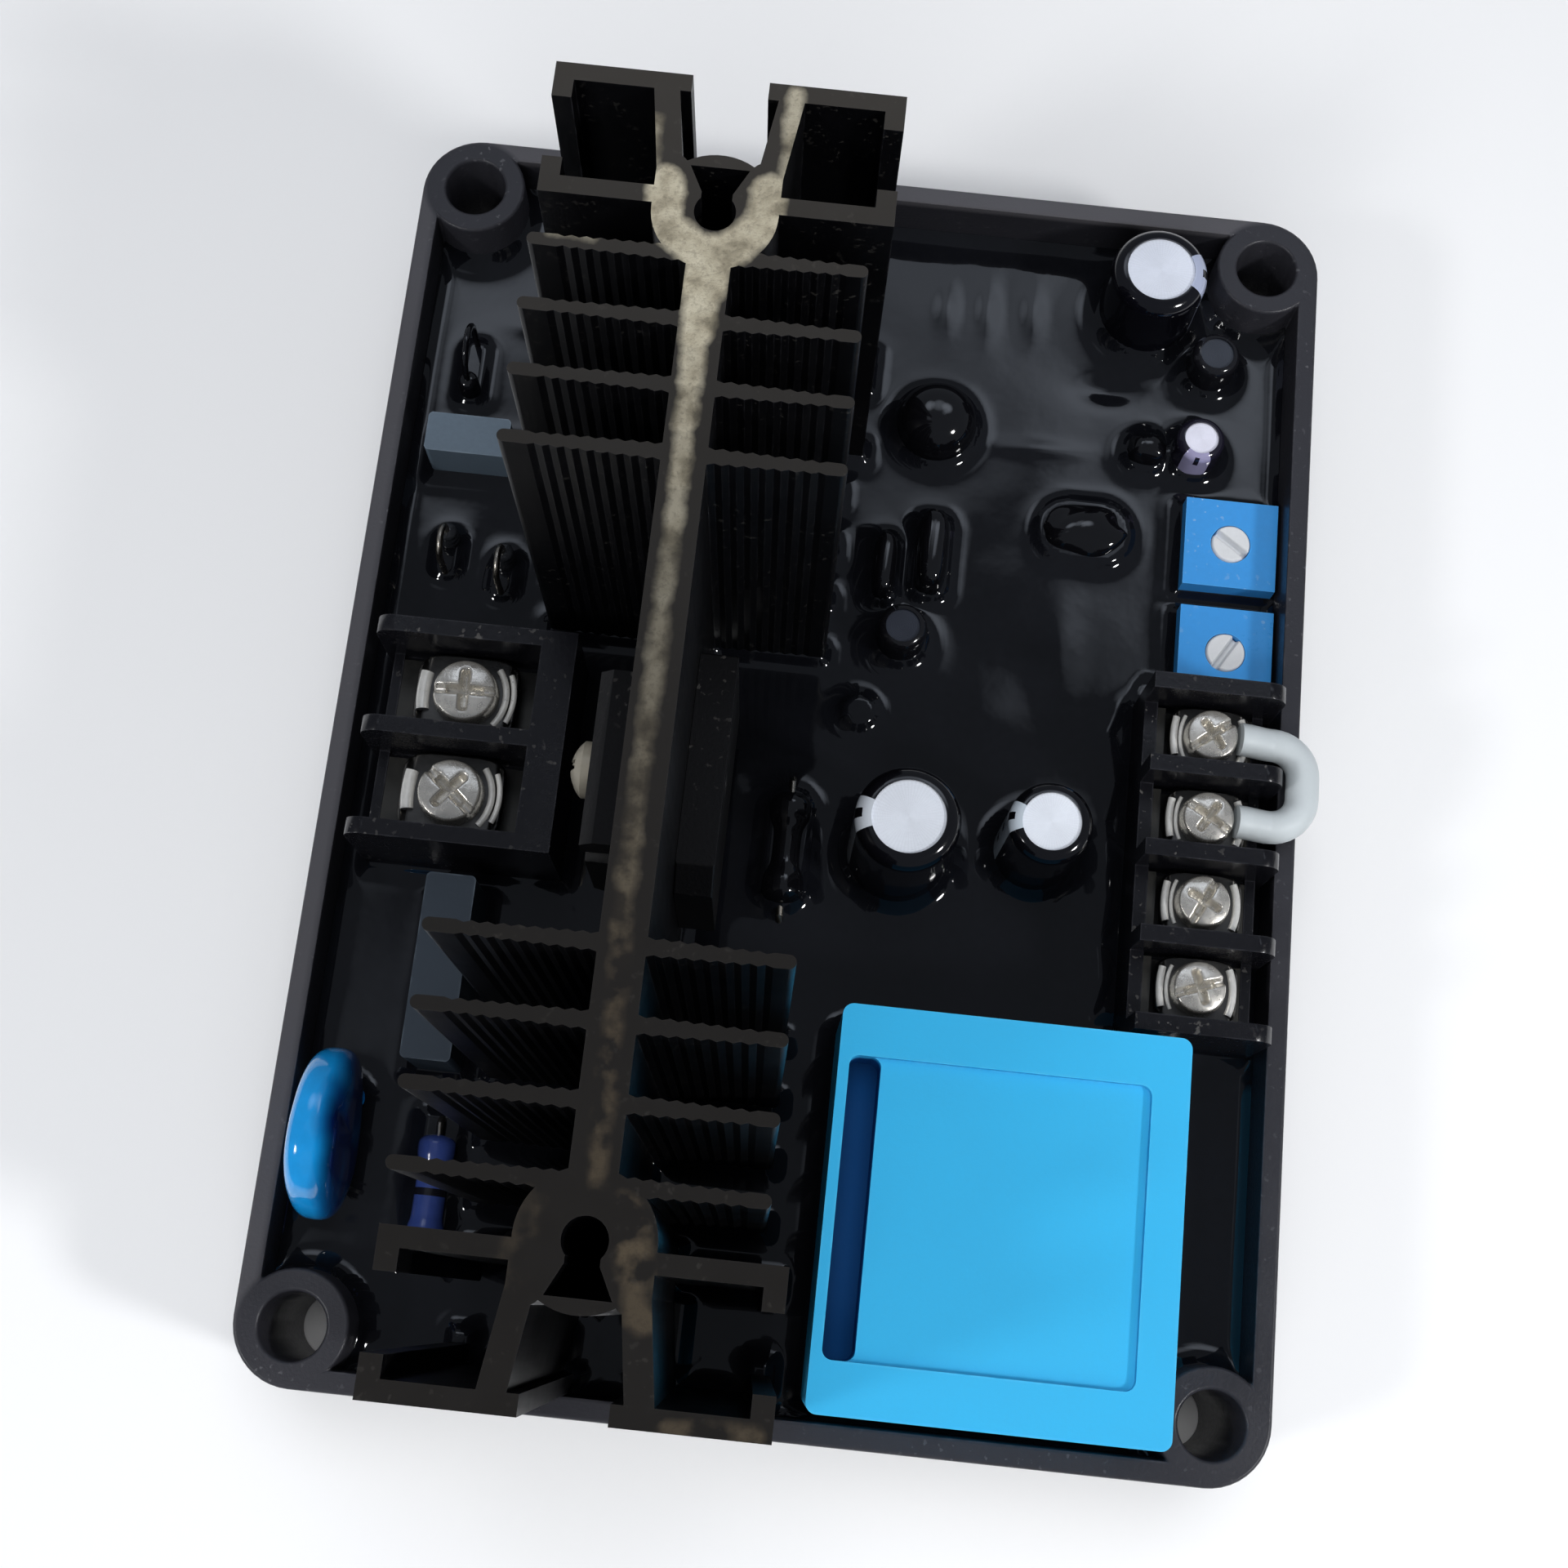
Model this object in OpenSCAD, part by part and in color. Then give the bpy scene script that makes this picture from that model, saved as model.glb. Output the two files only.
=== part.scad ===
/* [Tray] */
// Width of the tray, across its short side
case_w = 95; // [94:0.5:110]
// Length of the tray, along its long side
case_l = 128; // [127:0.5:145]
// Height of the tray, from its foot to the rim
case_h = 20; // [18:0.5:24]
// Thickness of the tray's side walls
case_wall = 2; // [1.6:0.1:2.2]
// Thickness of the tray's floor
case_floor = 2.4; // [1.6:0.2:3.2]
// Outside radius of the tray's corners
case_corner_r = 6; // [4:0.5:7]
// Distance from the outside of a wall to the centre of a mounting hole
hole_inset = 5.5; // [5.4:0.1:6]
// Diameter of the mounting holes
hole_d = 6.2; // [5:0.1:7]
// Diameter of the corner posts
post_d = 10.4; // [9.4:0.1:10.6]

/* [Board and potting] */
// Thickness of the circuit board
board_t = 1.6; // [1:0.1:2.4]
// Gap between the board and the tray's walls and posts
board_gap = 1; // [0.4:0.1:1.6]
// Depth of the potting's surface below the rim
potting_drop = 6; // [4:0.5:7]
// Thickness of potting over the board
potting_cover = 2; // [1:0.1:2.6]

/* [Heatsink] */
// Height of the heatsink above the board
sink_h = 49; // [42:0.5:60]
// Thickness of the heatsink's spine
spine_t = 3.7; // [3:0.1:4.4]
// Distance from the middle of the heatsink to its first fin
fin_first = 20; // [18.5:0.1:20.4]
// Distance from one fin to the next
fin_pitch = 5.9; // [5:0.1:6]
// Plain fins at each end
fins_per_end = 4; // [3:1:4]
// Thickness of a fin at its root
fin_root_t = 1.6; // [1.3:0.1:2]
// Thickness of a fin at its tip
fin_tip_t = 1.1; // [0.8:0.1:1.3]
// Reach of the fins on the terminal side, from the spine's middle
fin_reach_left = 14.6; // [12:0.1:15]
// Reach of the fins on the board side, from the spine's middle
fin_reach_right = 12.6; // [10:0.1:13]
// Distance between the grooves on the fins' faces
groove_pitch = 1.2; // [1:0.1:2]
// Depth of the grooves on the fins' faces
groove_depth = 0.18; // [0.1:0.02:0.3]
// Distance from the last plain fin to the lipped fin
lipped_fin_step = 5.2; // [4.4:0.1:5.4]
// Distance from the lipped fin to the outer face of the flange
channel_step = 11.5; // [10:0.1:11.6]
// Half of the flange's overall width
flange_reach = 14.9; // [13:0.1:15.2]
// Thickness of the flange and of the lipped fin
flange_t = 1.6; // [1.3:0.1:2]
// Gap between the two halves of the flange
flange_gap = 6.5; // [5:0.1:8]
// Length of the lips at the flange's ends
lip_len = 1.7; // [1:0.1:2.4]
// Thickness of the lips
lip_t = 1.7; // [1.2:0.1:2]
// Distance from the middle to each leg between boss and flange
leg_offset = 5.4; // [5:0.1:5.8]
// Thickness of the legs
leg_t = 2.2; // [1.8:0.1:2.6]
// Outside width of the screw boss
boss_w = 10.6; // [9.6:0.1:11.4]
// Diameter of the screw hole in the boss
boss_hole_d = 3.5; // [3:0.1:4]
// Width of the boss's open throat at the hole
throat_w = 2.6; // [2:0.1:2.8]
// Width of the boss's open throat at its mouth
throat_mouth_w = 5; // [3.4:0.1:5.4]

/* [Power devices] */
// Width of the power transistor's body
device_w = 15.9; // [14:0.1:17]
// Height of the power transistor's body
device_body_h = 20.8; // [18:0.1:22]
// Thickness of the power transistor's body
device_t = 4.8; // [4:0.1:5.2]
// Width of the rectifier's body
bridge_w = 21.8; // [19:0.1:22.6]
// Height of the rectifier's body
bridge_body_h = 18.4; // [16:0.1:20]
// Thickness of the rectifier's body
bridge_t = 3.5; // [3:0.1:4]
// Height of the shared screw above the board
device_screw_h = 22.5; // [21:0.1:24]
// Distance from the screw to the top of the power transistor
device_above_screw = 5.7; // [5:0.1:6.4]
// Distance from the screw to the top of the rectifier
bridge_above_screw = 4.2; // [4:0.1:5]
// Diameter of the shared screw
device_screw_d = 3; // [2.6:0.1:3.2]
// Head diameter of the shared screw
device_head_d = 5.2; // [4.8:0.1:6]
// Head height of the shared screw
device_head_h = 2.1; // [1.6:0.1:2.4]

/* [Four-way terminal block] */
// Poles of the right-hand block
small_poles = 4; // [2:1:4]
// Distance from one pole to the next
small_pitch = 8.25; // [7.9:0.05:8.3]
// Width of the block, barriers included
small_w = 13; // [12.8:0.1:14]
// Height of the barriers above the board
small_h = 15; // [13.5:0.1:17]
// Height of the cells' floor above the board
small_floor_h = 7.6; // [6.5:0.1:8]
// Diameter of the screw heads
small_head_d = 5.2; // [4.6:0.1:5.4]

/* [Two-way terminal block] */
// Poles of the left-hand block
large_poles = 2; // [1:1:2]
// Distance from one pole to the next
large_pitch = 10; // [9.6:0.05:10.4]
// Width of the block, barriers included
large_w = 19.5; // [18.6:0.1:20]
// Height of the barriers above the board
large_h = 16; // [14.5:0.1:18]
// Height of the cells' floor above the board
large_floor_h = 8; // [7:0.1:8.4]
// Diameter of the screw heads
large_head_d = 6.4; // [5.6:0.1:6.8]

/* [Terminals] */
// Thickness of the barriers between the poles
barrier_t = 1.6; // [1.2:0.1:1.8]
// Thickness of the contact plates
contact_t = 0.8; // [0.6:0.1:1]
// Thickness of the clamp plates
clamp_t = 0.8; // [0.6:0.1:1]
// Height of the screw heads
terminal_head_h = 2; // [1.6:0.1:2.4]
// Diameter of the small terminal screws
small_screw_d = 3; // [2.4:0.1:3.2]
// Diameter of the large terminal screws
large_screw_d = 3.5; // [3:0.1:4]

/* [Link wire] */
// Outside diameter of the link's insulation
link_d = 3.4; // [3:0.1:3.6]
// Diameter of the link's bare conductor
link_core_d = 1.4; // [1:0.1:1.6]

/* [Trimmers] */
// Side of a trimmer's square body
trimmer_w = 9.53; // [8.6:0.01:9.6]
// Height of a trimmer above the board
trimmer_h = 4.9; // [4.4:0.1:6]
// Diameter of the slotted rotor
rotor_d = 4; // [3.4:0.1:4.6]
// Gap between the two trimmers
trimmer_gap = 2.3; // [1:0.1:2.6]

/* [Transformer] */
// Width of the transformer's shell
transformer_w = 31.6; // [28:0.1:32]
// Length of the transformer's shell
transformer_l = 35.6; // [32:0.1:36]
// Height of the transformer's shell above the board
transformer_h = 18; // [13:0.5:24]
// Depth of the panel recess in its top
recess_depth = 0.7; // [0.4:0.1:1.2]
// Width of the deep slot beside the panel
slot_w = 2.9; // [1.6:0.1:3.6]
// Depth of the slot
slot_depth = 6; // [1.5:0.1:8]

/* [Capacitors] */
// Diameter of the two largest electrolytic capacitors
can_large_d = 10; // [8:0.1:10.4]
// Height of the tallest one
can_tall_h = 18.5; // [14:0.5:24]
// Height of the one by the corner post
can_corner_h = 12; // [10:0.5:16]
// Diameter of the middle-sized electrolytic capacitor
can_medium_d = 8; // [6.3:0.1:8.4]
// Height of the middle-sized one
can_medium_h = 16; // [12:0.5:20]
// Diameter of the small electrolytic capacitors
can_small_d = 5; // [4:0.1:5.4]
// Height of the small ones
can_small_h = 7; // [5:0.1:9]
// Thickness of the capacitors' sleeves
sleeve_t = 0.25; // [0.15:0.05:0.4]
// Diameter of the varistor's disc
varistor_d = 16; // [13:0.1:16.6]
// Thickness of the varistor's disc
varistor_t = 5; // [3.5:0.1:5.4]
// Length of the film capacitor
film_l = 17.6; // [14:0.1:18]
// Thickness of the film capacitor
film_t = 4.7; // [4:0.1:5]
// Height of the film capacitor
film_h = 12; // [9:0.1:14]
// Length of the box capacitor
box_l = 8.5; // [7:0.1:9]
// Thickness of the box capacitor
box_t = 4.2; // [3.5:0.1:4.6]
// Height of the box capacitor
box_h = 8; // [6:0.1:9]

/* [Small parts] */
// Diameter of the power resistor
resistor_d = 3.6; // [3:0.1:4]
// Length of the power resistor's body
resistor_l = 10.8; // [9:0.1:11.4]
// Diameter of the lying diode by the rectifier
diode_d = 4.2; // [3.4:0.1:4.6]
// Length of its body
diode_l = 11.6; // [9:0.1:13]
// Diameter of the coated drop capacitor
drop_d = 8.4; // [7:0.1:8.8]
// Diameter of the small resistors and diodes
bead_d = 2.2; // [1.6:0.1:2.6]

/* [Hidden] */

$fn = 64;
// One overrun serves every cut
over = 0.5;
// Clearance between the potting and what it surrounds
potting_gap = 0.04;
// Clearance between parts that sit inside each other
fit_gap = 0.04;
// Clearance between a rotor and its bore
running_gap = 0.05;

cavity_w = case_w - 2 * case_wall;
cavity_l = case_l - 2 * case_wall;
hole_x = case_w / 2 - hole_inset;
hole_y = case_l / 2 - hole_inset;
potting_z = case_h - potting_drop;
board_top = potting_z - potting_cover;
board_z = board_top - board_t;

// A place on the board, from shares of half the cavity's width and length
function spot(share) = [share[0] * cavity_w / 2, share[1] * cavity_l / 2, board_top];

module rounded_plate(w, l, h, r) {
    linear_extrude(h)
        union() {
            square([w - 2 * r, l], center = true);
            square([w, l - 2 * r], center = true);
            for (sx = [-1, 1], sy = [-1, 1])
                translate([sx * (w / 2 - r), sy * (l / 2 - r)])
                    circle(r);
        }
}

module box_on(size) {
    translate([-size[0] / 2, -size[1] / 2, 0])
        cube(size);
}

module at_corners() {
    for (sx = [-1, 1], sy = [-1, 1])
        translate([sx * hole_x, sy * hole_y, 0])
            children();
}

// Tray
module case() {
    color([0.07, 0.07, 0.08])
    difference() {
        union() {
            difference() {
                rounded_plate(case_w, case_l, case_h, case_corner_r);
                translate([0, 0, case_floor])
                    rounded_plate(cavity_w, cavity_l, case_h, case_corner_r - case_wall);
            }
            at_corners()
                cylinder(h = case_h, d = post_d);
        }
        at_corners()
            translate([0, 0, -over])
                cylinder(h = case_h + 2 * over, d = hole_d);
    }
}

// Circuit board, notched round the corner posts
module circuit_board() {
    color([0.06, 0.25, 0.14])
    translate([0, 0, board_z])
    difference() {
        box_on([cavity_w - 2 * board_gap, cavity_l - 2 * board_gap, board_t]);
        at_corners()
            translate([0, 0, -over])
                cylinder(h = board_t + 2 * over, r = post_d / 2 + board_gap);
    }
}

// Heatsink: one vertical extrusion
sink_x_share = -0.29;
sink_wall_gap = 0.2;
lipped_fin_y = fin_first + (fins_per_end - 1) * fin_pitch + lipped_fin_step;
flange_y = lipped_fin_y + channel_step;
sink_x = sink_x_share * cavity_w / 2;
sink_y = -cavity_l / 2 + sink_wall_gap + flange_y;
boss_y = lipped_fin_y - flange_t * 0.7;
arm_r = (boss_w - throat_mouth_w) / 4;
arm_len = boss_w * 0.34;

function fin_half(x, reach) = (fin_root_t + (fin_tip_t - fin_root_t) * x / reach) / 2;
function groove_steps(reach) = 2 * floor((reach - spine_t / 2 - fin_tip_t) / groove_pitch);
function fin_side(reach, side, grow) = [for (i = [0:1:groove_steps(reach)])
    let (x = spine_t / 2 + i * groove_pitch / 2)
    [x, side * (fin_half(x, reach) + grow - (grow > 0 ? 0 : (i % 2) * groove_depth))]];
function backwards(points) = [for (i = [len(points) - 1:-1:0]) points[i]];

module fin(reach, grow) {
    polygon(concat([[0, -fin_half(0, reach) - grow]],
        fin_side(reach, -1, grow),
        [[reach, -fin_tip_t / 2 - grow], [reach, fin_tip_t / 2 + grow]],
        backwards(fin_side(reach, 1, grow)),
        [[0, fin_half(0, reach) + grow]]));
    translate([reach, 0])
        circle(d = fin_tip_t + 2 * grow);
}

// Half of the profile's outer end: one arm of the boss, its leg and half of the channel
module channel_half(grow) {
    inner_x = flange_gap / 2;
    translate([boss_w / 2 - leg_t, lipped_fin_y - flange_t / 2 - grow])
        square([flange_reach + grow - boss_w / 2 + leg_t, flange_t + 2 * grow]);
    translate([flange_reach - lip_t - grow, lipped_fin_y - grow])
        square([lip_t + 2 * grow, flange_t / 2 + lip_len + 2 * grow]);
    translate([inner_x - grow, flange_y - flange_t - grow])
        square([flange_reach - inner_x + 2 * grow, flange_t + 2 * grow]);
    translate([flange_reach - lip_t - grow, flange_y - flange_t - lip_len - grow])
        square([lip_t + 2 * grow, flange_t + lip_len + grow]);
    polygon([[leg_offset - leg_t / 2 - grow, flange_y - flange_t / 2],
        [leg_offset + leg_t / 2 + grow, flange_y - flange_t / 2],
        [boss_w / 2 + grow, boss_y + arm_len],
        [boss_w / 2 + grow, boss_y],
        [boss_w / 2 - leg_t, boss_y],
        [boss_w / 2 - leg_t - grow, boss_y + arm_len]]);
    translate([boss_w / 2 - arm_r, boss_y + arm_len])
        circle(arm_r + grow);
}

module boss(grow) {
    translate([0, boss_y])
        circle(d = boss_w + 2 * grow);
    translate([-boss_w / 2 - grow, boss_y])
        square([boss_w + 2 * grow, arm_len]);
}

module throat(grow) {
    mouth_y = boss_y + arm_len + over;
    translate([0, boss_y])
        circle(d = boss_hole_d - 2 * grow);
    polygon([[-throat_w / 2 + grow, boss_y],
        [throat_w / 2 - grow, boss_y],
        [throat_w / 2 - grow, boss_y + boss_hole_d / 2],
        [throat_mouth_w / 2 - grow, mouth_y],
        [-throat_mouth_w / 2 + grow, mouth_y],
        [-throat_w / 2 + grow, boss_y + boss_hole_d / 2]]);
}

module sink_end(grow) {
    for (i = [0:1:fins_per_end - 1])
        translate([0, fin_first + i * fin_pitch]) {
            fin(fin_reach_right, grow);
            mirror([1, 0])
                fin(fin_reach_left, grow);
        }
    difference() {
        union() {
            boss(grow);
            for (side = [0, 1])
                mirror([side, 0])
                    channel_half(grow);
        }
        throat(grow);
    }
}

module sink_profile(grow = 0) {
    spine_l = boss_y - boss_hole_d / 2 - spine_t / 4;
    union() {
        translate([-spine_t / 2 - grow, -spine_l])
            square([spine_t + 2 * grow, 2 * spine_l]);
        for (side = [0, 1])
            mirror([0, side])
                sink_end(grow);
    }
}

module along_spine() {
    translate([sink_x, sink_y, board_top])
        children();
}

// Drilled crosswise for the screw that both power devices share
module heatsink() {
    color([0.1, 0.1, 0.11])
    along_spine()
    difference() {
        linear_extrude(sink_h)
            sink_profile();
        translate([-spine_t / 2 - over, 0, device_screw_h])
            rotate([0, 90, 0])
                cylinder(h = spine_t + 2 * over, r = device_screw_d / 2 + running_gap);
    }
}

// Power transistor on the terminal side of the spine
lead_t = 0.6;
lead_w = 1.2;
device_lead_pitch = 5.45;
bridge_lead_pitch = 5.08;
device_top_h = device_screw_h + device_above_screw;
bridge_top_h = device_screw_h + bridge_above_screw;
tab_t = 1.6;
notch_d = 4;
chamfer = 1.2;

module leads(count, pitch, top_h) {
    for (i = [0:1:count - 1])
        translate([0, (i - (count - 1) / 2) * pitch, 0]) {
            box_on([lead_t, lead_w, top_h]);
            translate([0, 0, potting_cover + lead_w])
                box_on([lead_t, 1.6 * lead_w, top_h - potting_cover - lead_w]);
        }
}

module power_transistor() {
    color([0.13, 0.13, 0.14])
    along_spine()
    translate([-spine_t / 2, 0, 0]) {
        difference() {
            translate([0, 0, device_top_h - device_body_h])
                rotate([90, 0, 0])
                    translate([0, 0, -device_w / 2])
                        linear_extrude(device_w)
                            polygon([[0, 0], [-device_t + chamfer, 0], [-device_t, chamfer],
                                [-device_t, device_body_h - chamfer],
                                [-device_t + chamfer, device_body_h], [0, device_body_h]]);
            translate([-device_t - over, 0, device_screw_h])
                rotate([0, 90, 0])
                    cylinder(h = device_t + 2 * over, d = 1.2 * device_screw_d);
            for (side = [-1, 1])
                translate([-device_t - over, side * device_w / 2, device_screw_h])
                    rotate([0, 90, 0])
                        cylinder(h = device_t - tab_t + over, d = notch_d);
        }
        translate([-device_t / 2, 0, 0])
            leads(3, device_lead_pitch, device_top_h - device_body_h + chamfer);
    }
}

// Flat rectifier on the other side of the spine
module bridge_rectifier() {
    color([0.12, 0.12, 0.13])
    along_spine()
    translate([spine_t / 2, 0, 0]) {
        difference() {
            translate([0, 0, bridge_top_h - bridge_body_h])
                rotate([90, 0, 90])
                    linear_extrude(bridge_t)
                        polygon([[-bridge_w / 2, 0], [bridge_w / 2, 0],
                            [bridge_w / 2, bridge_body_h],
                            [-bridge_w / 2 + 2 * chamfer, bridge_body_h],
                            [-bridge_w / 2, bridge_body_h - 2 * chamfer]]);
            translate([-over, 0, device_screw_h])
                rotate([0, 90, 0])
                    cylinder(h = bridge_t + 2 * over, d = 1.2 * device_screw_d);
        }
        translate([bridge_t / 2, 0, 0])
            leads(4, bridge_lead_pitch, bridge_top_h - bridge_body_h + chamfer);
    }
}

// Screw head: a low dome on a short rim, cut by a cross
module screw_head(d, h, arms) {
    rim_h = 0.45 * h;
    cross_w = 0.17 * d;
    difference() {
        rotate_extrude()
            intersection() {
                union() {
                    square([d / 2, rim_h]);
                    translate([0, rim_h])
                        scale_arc(d / 2, h - rim_h);
                }
                square([d / 2, h]);
            }
        for (turn = [0, 90])
            rotate(turn)
                translate([-0.34 * d, -cross_w / 2, 0.45 * h])
                    cube([0.68 * d, cross_w, h]);
        if (arms)
            translate([-d, -cross_w / 2, 0.66 * h])
                cube([2 * d, cross_w, h]);
    }
}

// A quarter lens of half-width r and rise h, cut from one round arc
module scale_arc(r, h) {
    arc_r = (r * r + h * h) / (2 * h);
    intersection() {
        translate([0, h - arc_r])
            circle(arc_r);
        square([r, h]);
    }
}

// The screw's end stays inside the rectifier's hole
module device_screw() {
    stack = device_t + spine_t + 0.8 * bridge_t;
    color([0.75, 0.73, 0.68])
    along_spine()
    translate([-spine_t / 2 - device_t, 0, device_screw_h])
        rotate([0, 90, 0]) {
            cylinder(h = stack, d = device_screw_d);
            rotate([180, 0, 0])
                screw_head(device_head_d, device_head_h, false);
        }
}

// The transformer fills the near right corner, and the four-way block follows it
transformer_post_gap = 0.4;
transformer_wall_gap = 1.2;
transformer_x = case_w / 2 - hole_inset - post_d / 2 - transformer_post_gap - transformer_w / 2;
transformer_y = -cavity_l / 2 + transformer_wall_gap + transformer_l / 2;
block_past_transformer = 0.9;

// Terminal blocks: cells between barriers, open towards the outside of the tray
// The left block sits in the heatsink's open bay, this far past the bay's middle
large_past_bay = 4.2;
small_wall_gap = 0.9;
large_wall_gap = 2.3;
small_l = small_poles * small_pitch + barrier_t;
large_l = large_poles * large_pitch + barrier_t;
small_x = cavity_w / 2 - small_wall_gap;
small_y = transformer_y + transformer_l / 2 + block_past_transformer + small_l / 2;
large_x = -cavity_w / 2 + large_wall_gap;
large_y = sink_y + large_past_bay;
small_back_t = 1.3;
large_back_t = 3.4;
small_ledge = 1;
large_ledge = 0.9;
lip_rise = 1.6;
front_lip_t = 1;

// A block's screws lie this far in from its mouth
small_screw_in = small_w / 2 + 0.1;
large_screw_in = large_w * 0.455;

function cell_y(i, poles, pitch) = ((poles - 1) / 2 - i) * pitch;

// The block's outline seen from above, with its mouth at x = 0 and its body towards -x
module block_outline(w, poles, pitch, ledge, grow) {
    l = poles * pitch + barrier_t;
    translate([-w - grow, -l / 2 - grow])
        square([w - ledge + 2 * grow, l + 2 * grow]);
    for (i = [0:1:poles])
        translate([-w - grow, (i - poles / 2) * pitch - barrier_t / 2 - grow])
            square([w + 2 * grow, barrier_t + 2 * grow]);
}

module block_body(w, poles, pitch, h, floor_h, back_t, ledge, screw_in, screw_d, back_h) {
    l = poles * pitch + barrier_t;
    cell = pitch - barrier_t;
    tip_r = 0.6 * barrier_t;
    difference() {
        union() {
            linear_extrude(floor_h)
                block_outline(w, poles, pitch, ledge, 0);
            translate([-w, -l / 2, 0])
                cube([back_t, l, back_h]);
            for (i = [0:1:poles])
                translate([-w, (i - poles / 2) * pitch + barrier_t / 2, 0])
                    rotate([90, 0, 0])
                        linear_extrude(barrier_t)
                            union() {
                                square([w, h - 2 * tip_r]);
                                square([w - 2 * tip_r, h]);
                                translate([w - 2 * tip_r, h - 2 * tip_r])
                                    circle(2 * tip_r);
                            }
            translate([-ledge - front_lip_t, -l / 2, 0])
                cube([front_lip_t, l, floor_h + contact_t]);
        }
        for (i = [0:1:poles - 1])
            translate([-screw_in, cell_y(i, poles, pitch), 0]) {
                translate([0, 0, floor_h - 1.6 * screw_d])
                    cylinder(h = 1.6 * screw_d + over, d = 1.3 * screw_d);
                translate([screw_in - w + back_t, -cell * contact_share / 2 - fit_gap, -over])
                    cube([contact_t + fit_gap, cell * contact_share + 2 * fit_gap, floor_h + 2 * over]);
            }
    }
}

// Contacts fill this share of a cell's width
contact_share = 0.86;

// Contact: a plate on the cell's floor with a pin that runs down to the board
module contact(w, cell, floor_h, back_t, ledge, screw_in, screw_d) {
    plate_w = cell * contact_share;
    plate_l = w - back_t - ledge - front_lip_t - fit_gap;
    difference() {
        union() {
            translate([-w + back_t, -plate_w / 2, floor_h])
                cube([plate_l, plate_w, contact_t]);
            translate([-w + back_t, -plate_w / 2, 0])
                cube([contact_t, plate_w, floor_h + contact_t]);
            translate([-w + back_t, -plate_w / 2, floor_h])
                cube([contact_t, plate_w, contact_t + lip_rise]);
        }
        translate([-screw_in, 0, floor_h - over])
            cylinder(h = contact_t + 2 * over, r = screw_d / 2 + fit_gap);
    }
}

// Square clamp plate, its two edges beside the barriers turned down
module clamp_plate(side_x, side_y, screw_d) {
    turned = clamp_t * 0.5;
    difference() {
        union() {
            translate([-side_x / 2, -side_y / 2, 0])
                cube([side_x, side_y, clamp_t]);
            for (side = [-1, 1])
                translate([-side_x / 2, side * (side_y - clamp_t) / 2 - clamp_t / 2, -turned])
                    cube([side_x, clamp_t, clamp_t]);
        }
        translate([0, 0, -over])
            cylinder(h = clamp_t + 2 * over, d = 1.12 * screw_d);
    }
}

module terminal_screw(head_d, screw_d, turn) {
    rotate(turn)
        screw_head(head_d, terminal_head_h, true);
    translate([0, 0, -clamp_t - clamp_rise - contact_t - screw_d])
        cylinder(h = clamp_t + clamp_rise + contact_t + screw_d + over, d = screw_d);
}

// Clamp plates stand this far above the contacts, held up by the wire size they take
clamp_rise = link_core_d + fit_gap;
small_cell = small_pitch - barrier_t;
large_cell = large_pitch - barrier_t;
small_clamp_x = 1.25 * small_head_d;
small_clamp_y = small_cell * 0.9;
large_clamp_x = 1.35 * large_head_d;
large_clamp_y = large_cell * 0.94;
turn_share = [0.12, 0.31, 0.58, 0.83];

module in_small_block() {
    translate([small_x, small_y, board_top])
        children();
}

module in_large_block() {
    translate([large_x, large_y, board_top])
        rotate(180)
            children();
}

module small_block_body() {
    color([0.09, 0.09, 0.1])
    in_small_block()
        block_body(small_w, small_poles, small_pitch, small_h, small_floor_h, small_back_t,
            small_ledge, small_screw_in, small_screw_d, small_h - 3 * barrier_t);
}

module large_block_body() {
    color([0.1, 0.1, 0.11])
    in_large_block()
        block_body(large_w, large_poles, large_pitch, large_h, large_floor_h, large_back_t,
            large_ledge, large_screw_in, large_screw_d, large_h);
}

module small_contact(i) {
    color([0.78, 0.77, 0.73])
    if (i < small_poles)
        in_small_block()
        translate([0, cell_y(i, small_poles, small_pitch), 0])
            contact(small_w, small_cell, small_floor_h, small_back_t, small_ledge,
                small_screw_in, small_screw_d);
}

module large_contact(i) {
    color([0.78, 0.77, 0.73])
    if (i < large_poles)
        in_large_block()
        translate([0, cell_y(i, large_poles, large_pitch), 0])
            contact(large_w, large_cell, large_floor_h, large_back_t, large_ledge,
                large_screw_in, large_screw_d);
}

small_clamp_h = small_floor_h + contact_t + clamp_rise;
large_clamp_h = large_floor_h + contact_t + clamp_rise;

module small_clamp(i) {
    color([0.82, 0.81, 0.78])
    if (i < small_poles)
        in_small_block()
        translate([-small_screw_in, cell_y(i, small_poles, small_pitch), small_clamp_h])
            clamp_plate(small_clamp_x, small_clamp_y, small_screw_d);
}

module large_clamp(i) {
    color([0.82, 0.81, 0.78])
    if (i < large_poles)
        in_large_block()
        translate([-large_screw_in, cell_y(i, large_poles, large_pitch), large_clamp_h])
            clamp_plate(large_clamp_x, large_clamp_y, large_screw_d);
}

module small_block_screws() {
    color([0.85, 0.84, 0.8])
    in_small_block()
    for (i = [0:1:small_poles - 1])
        translate([-small_screw_in, cell_y(i, small_poles, small_pitch), small_clamp_h + clamp_t])
            terminal_screw(small_head_d, small_screw_d, 180 * turn_share[i]);
}

module large_block_screws() {
    color([0.85, 0.84, 0.8])
    in_large_block()
    for (i = [0:1:large_poles - 1])
        translate([-large_screw_in, cell_y(i, large_poles, large_pitch), large_clamp_h + clamp_t])
            terminal_screw(large_head_d, large_screw_d, 180 * turn_share[i + 1]);
}

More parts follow.
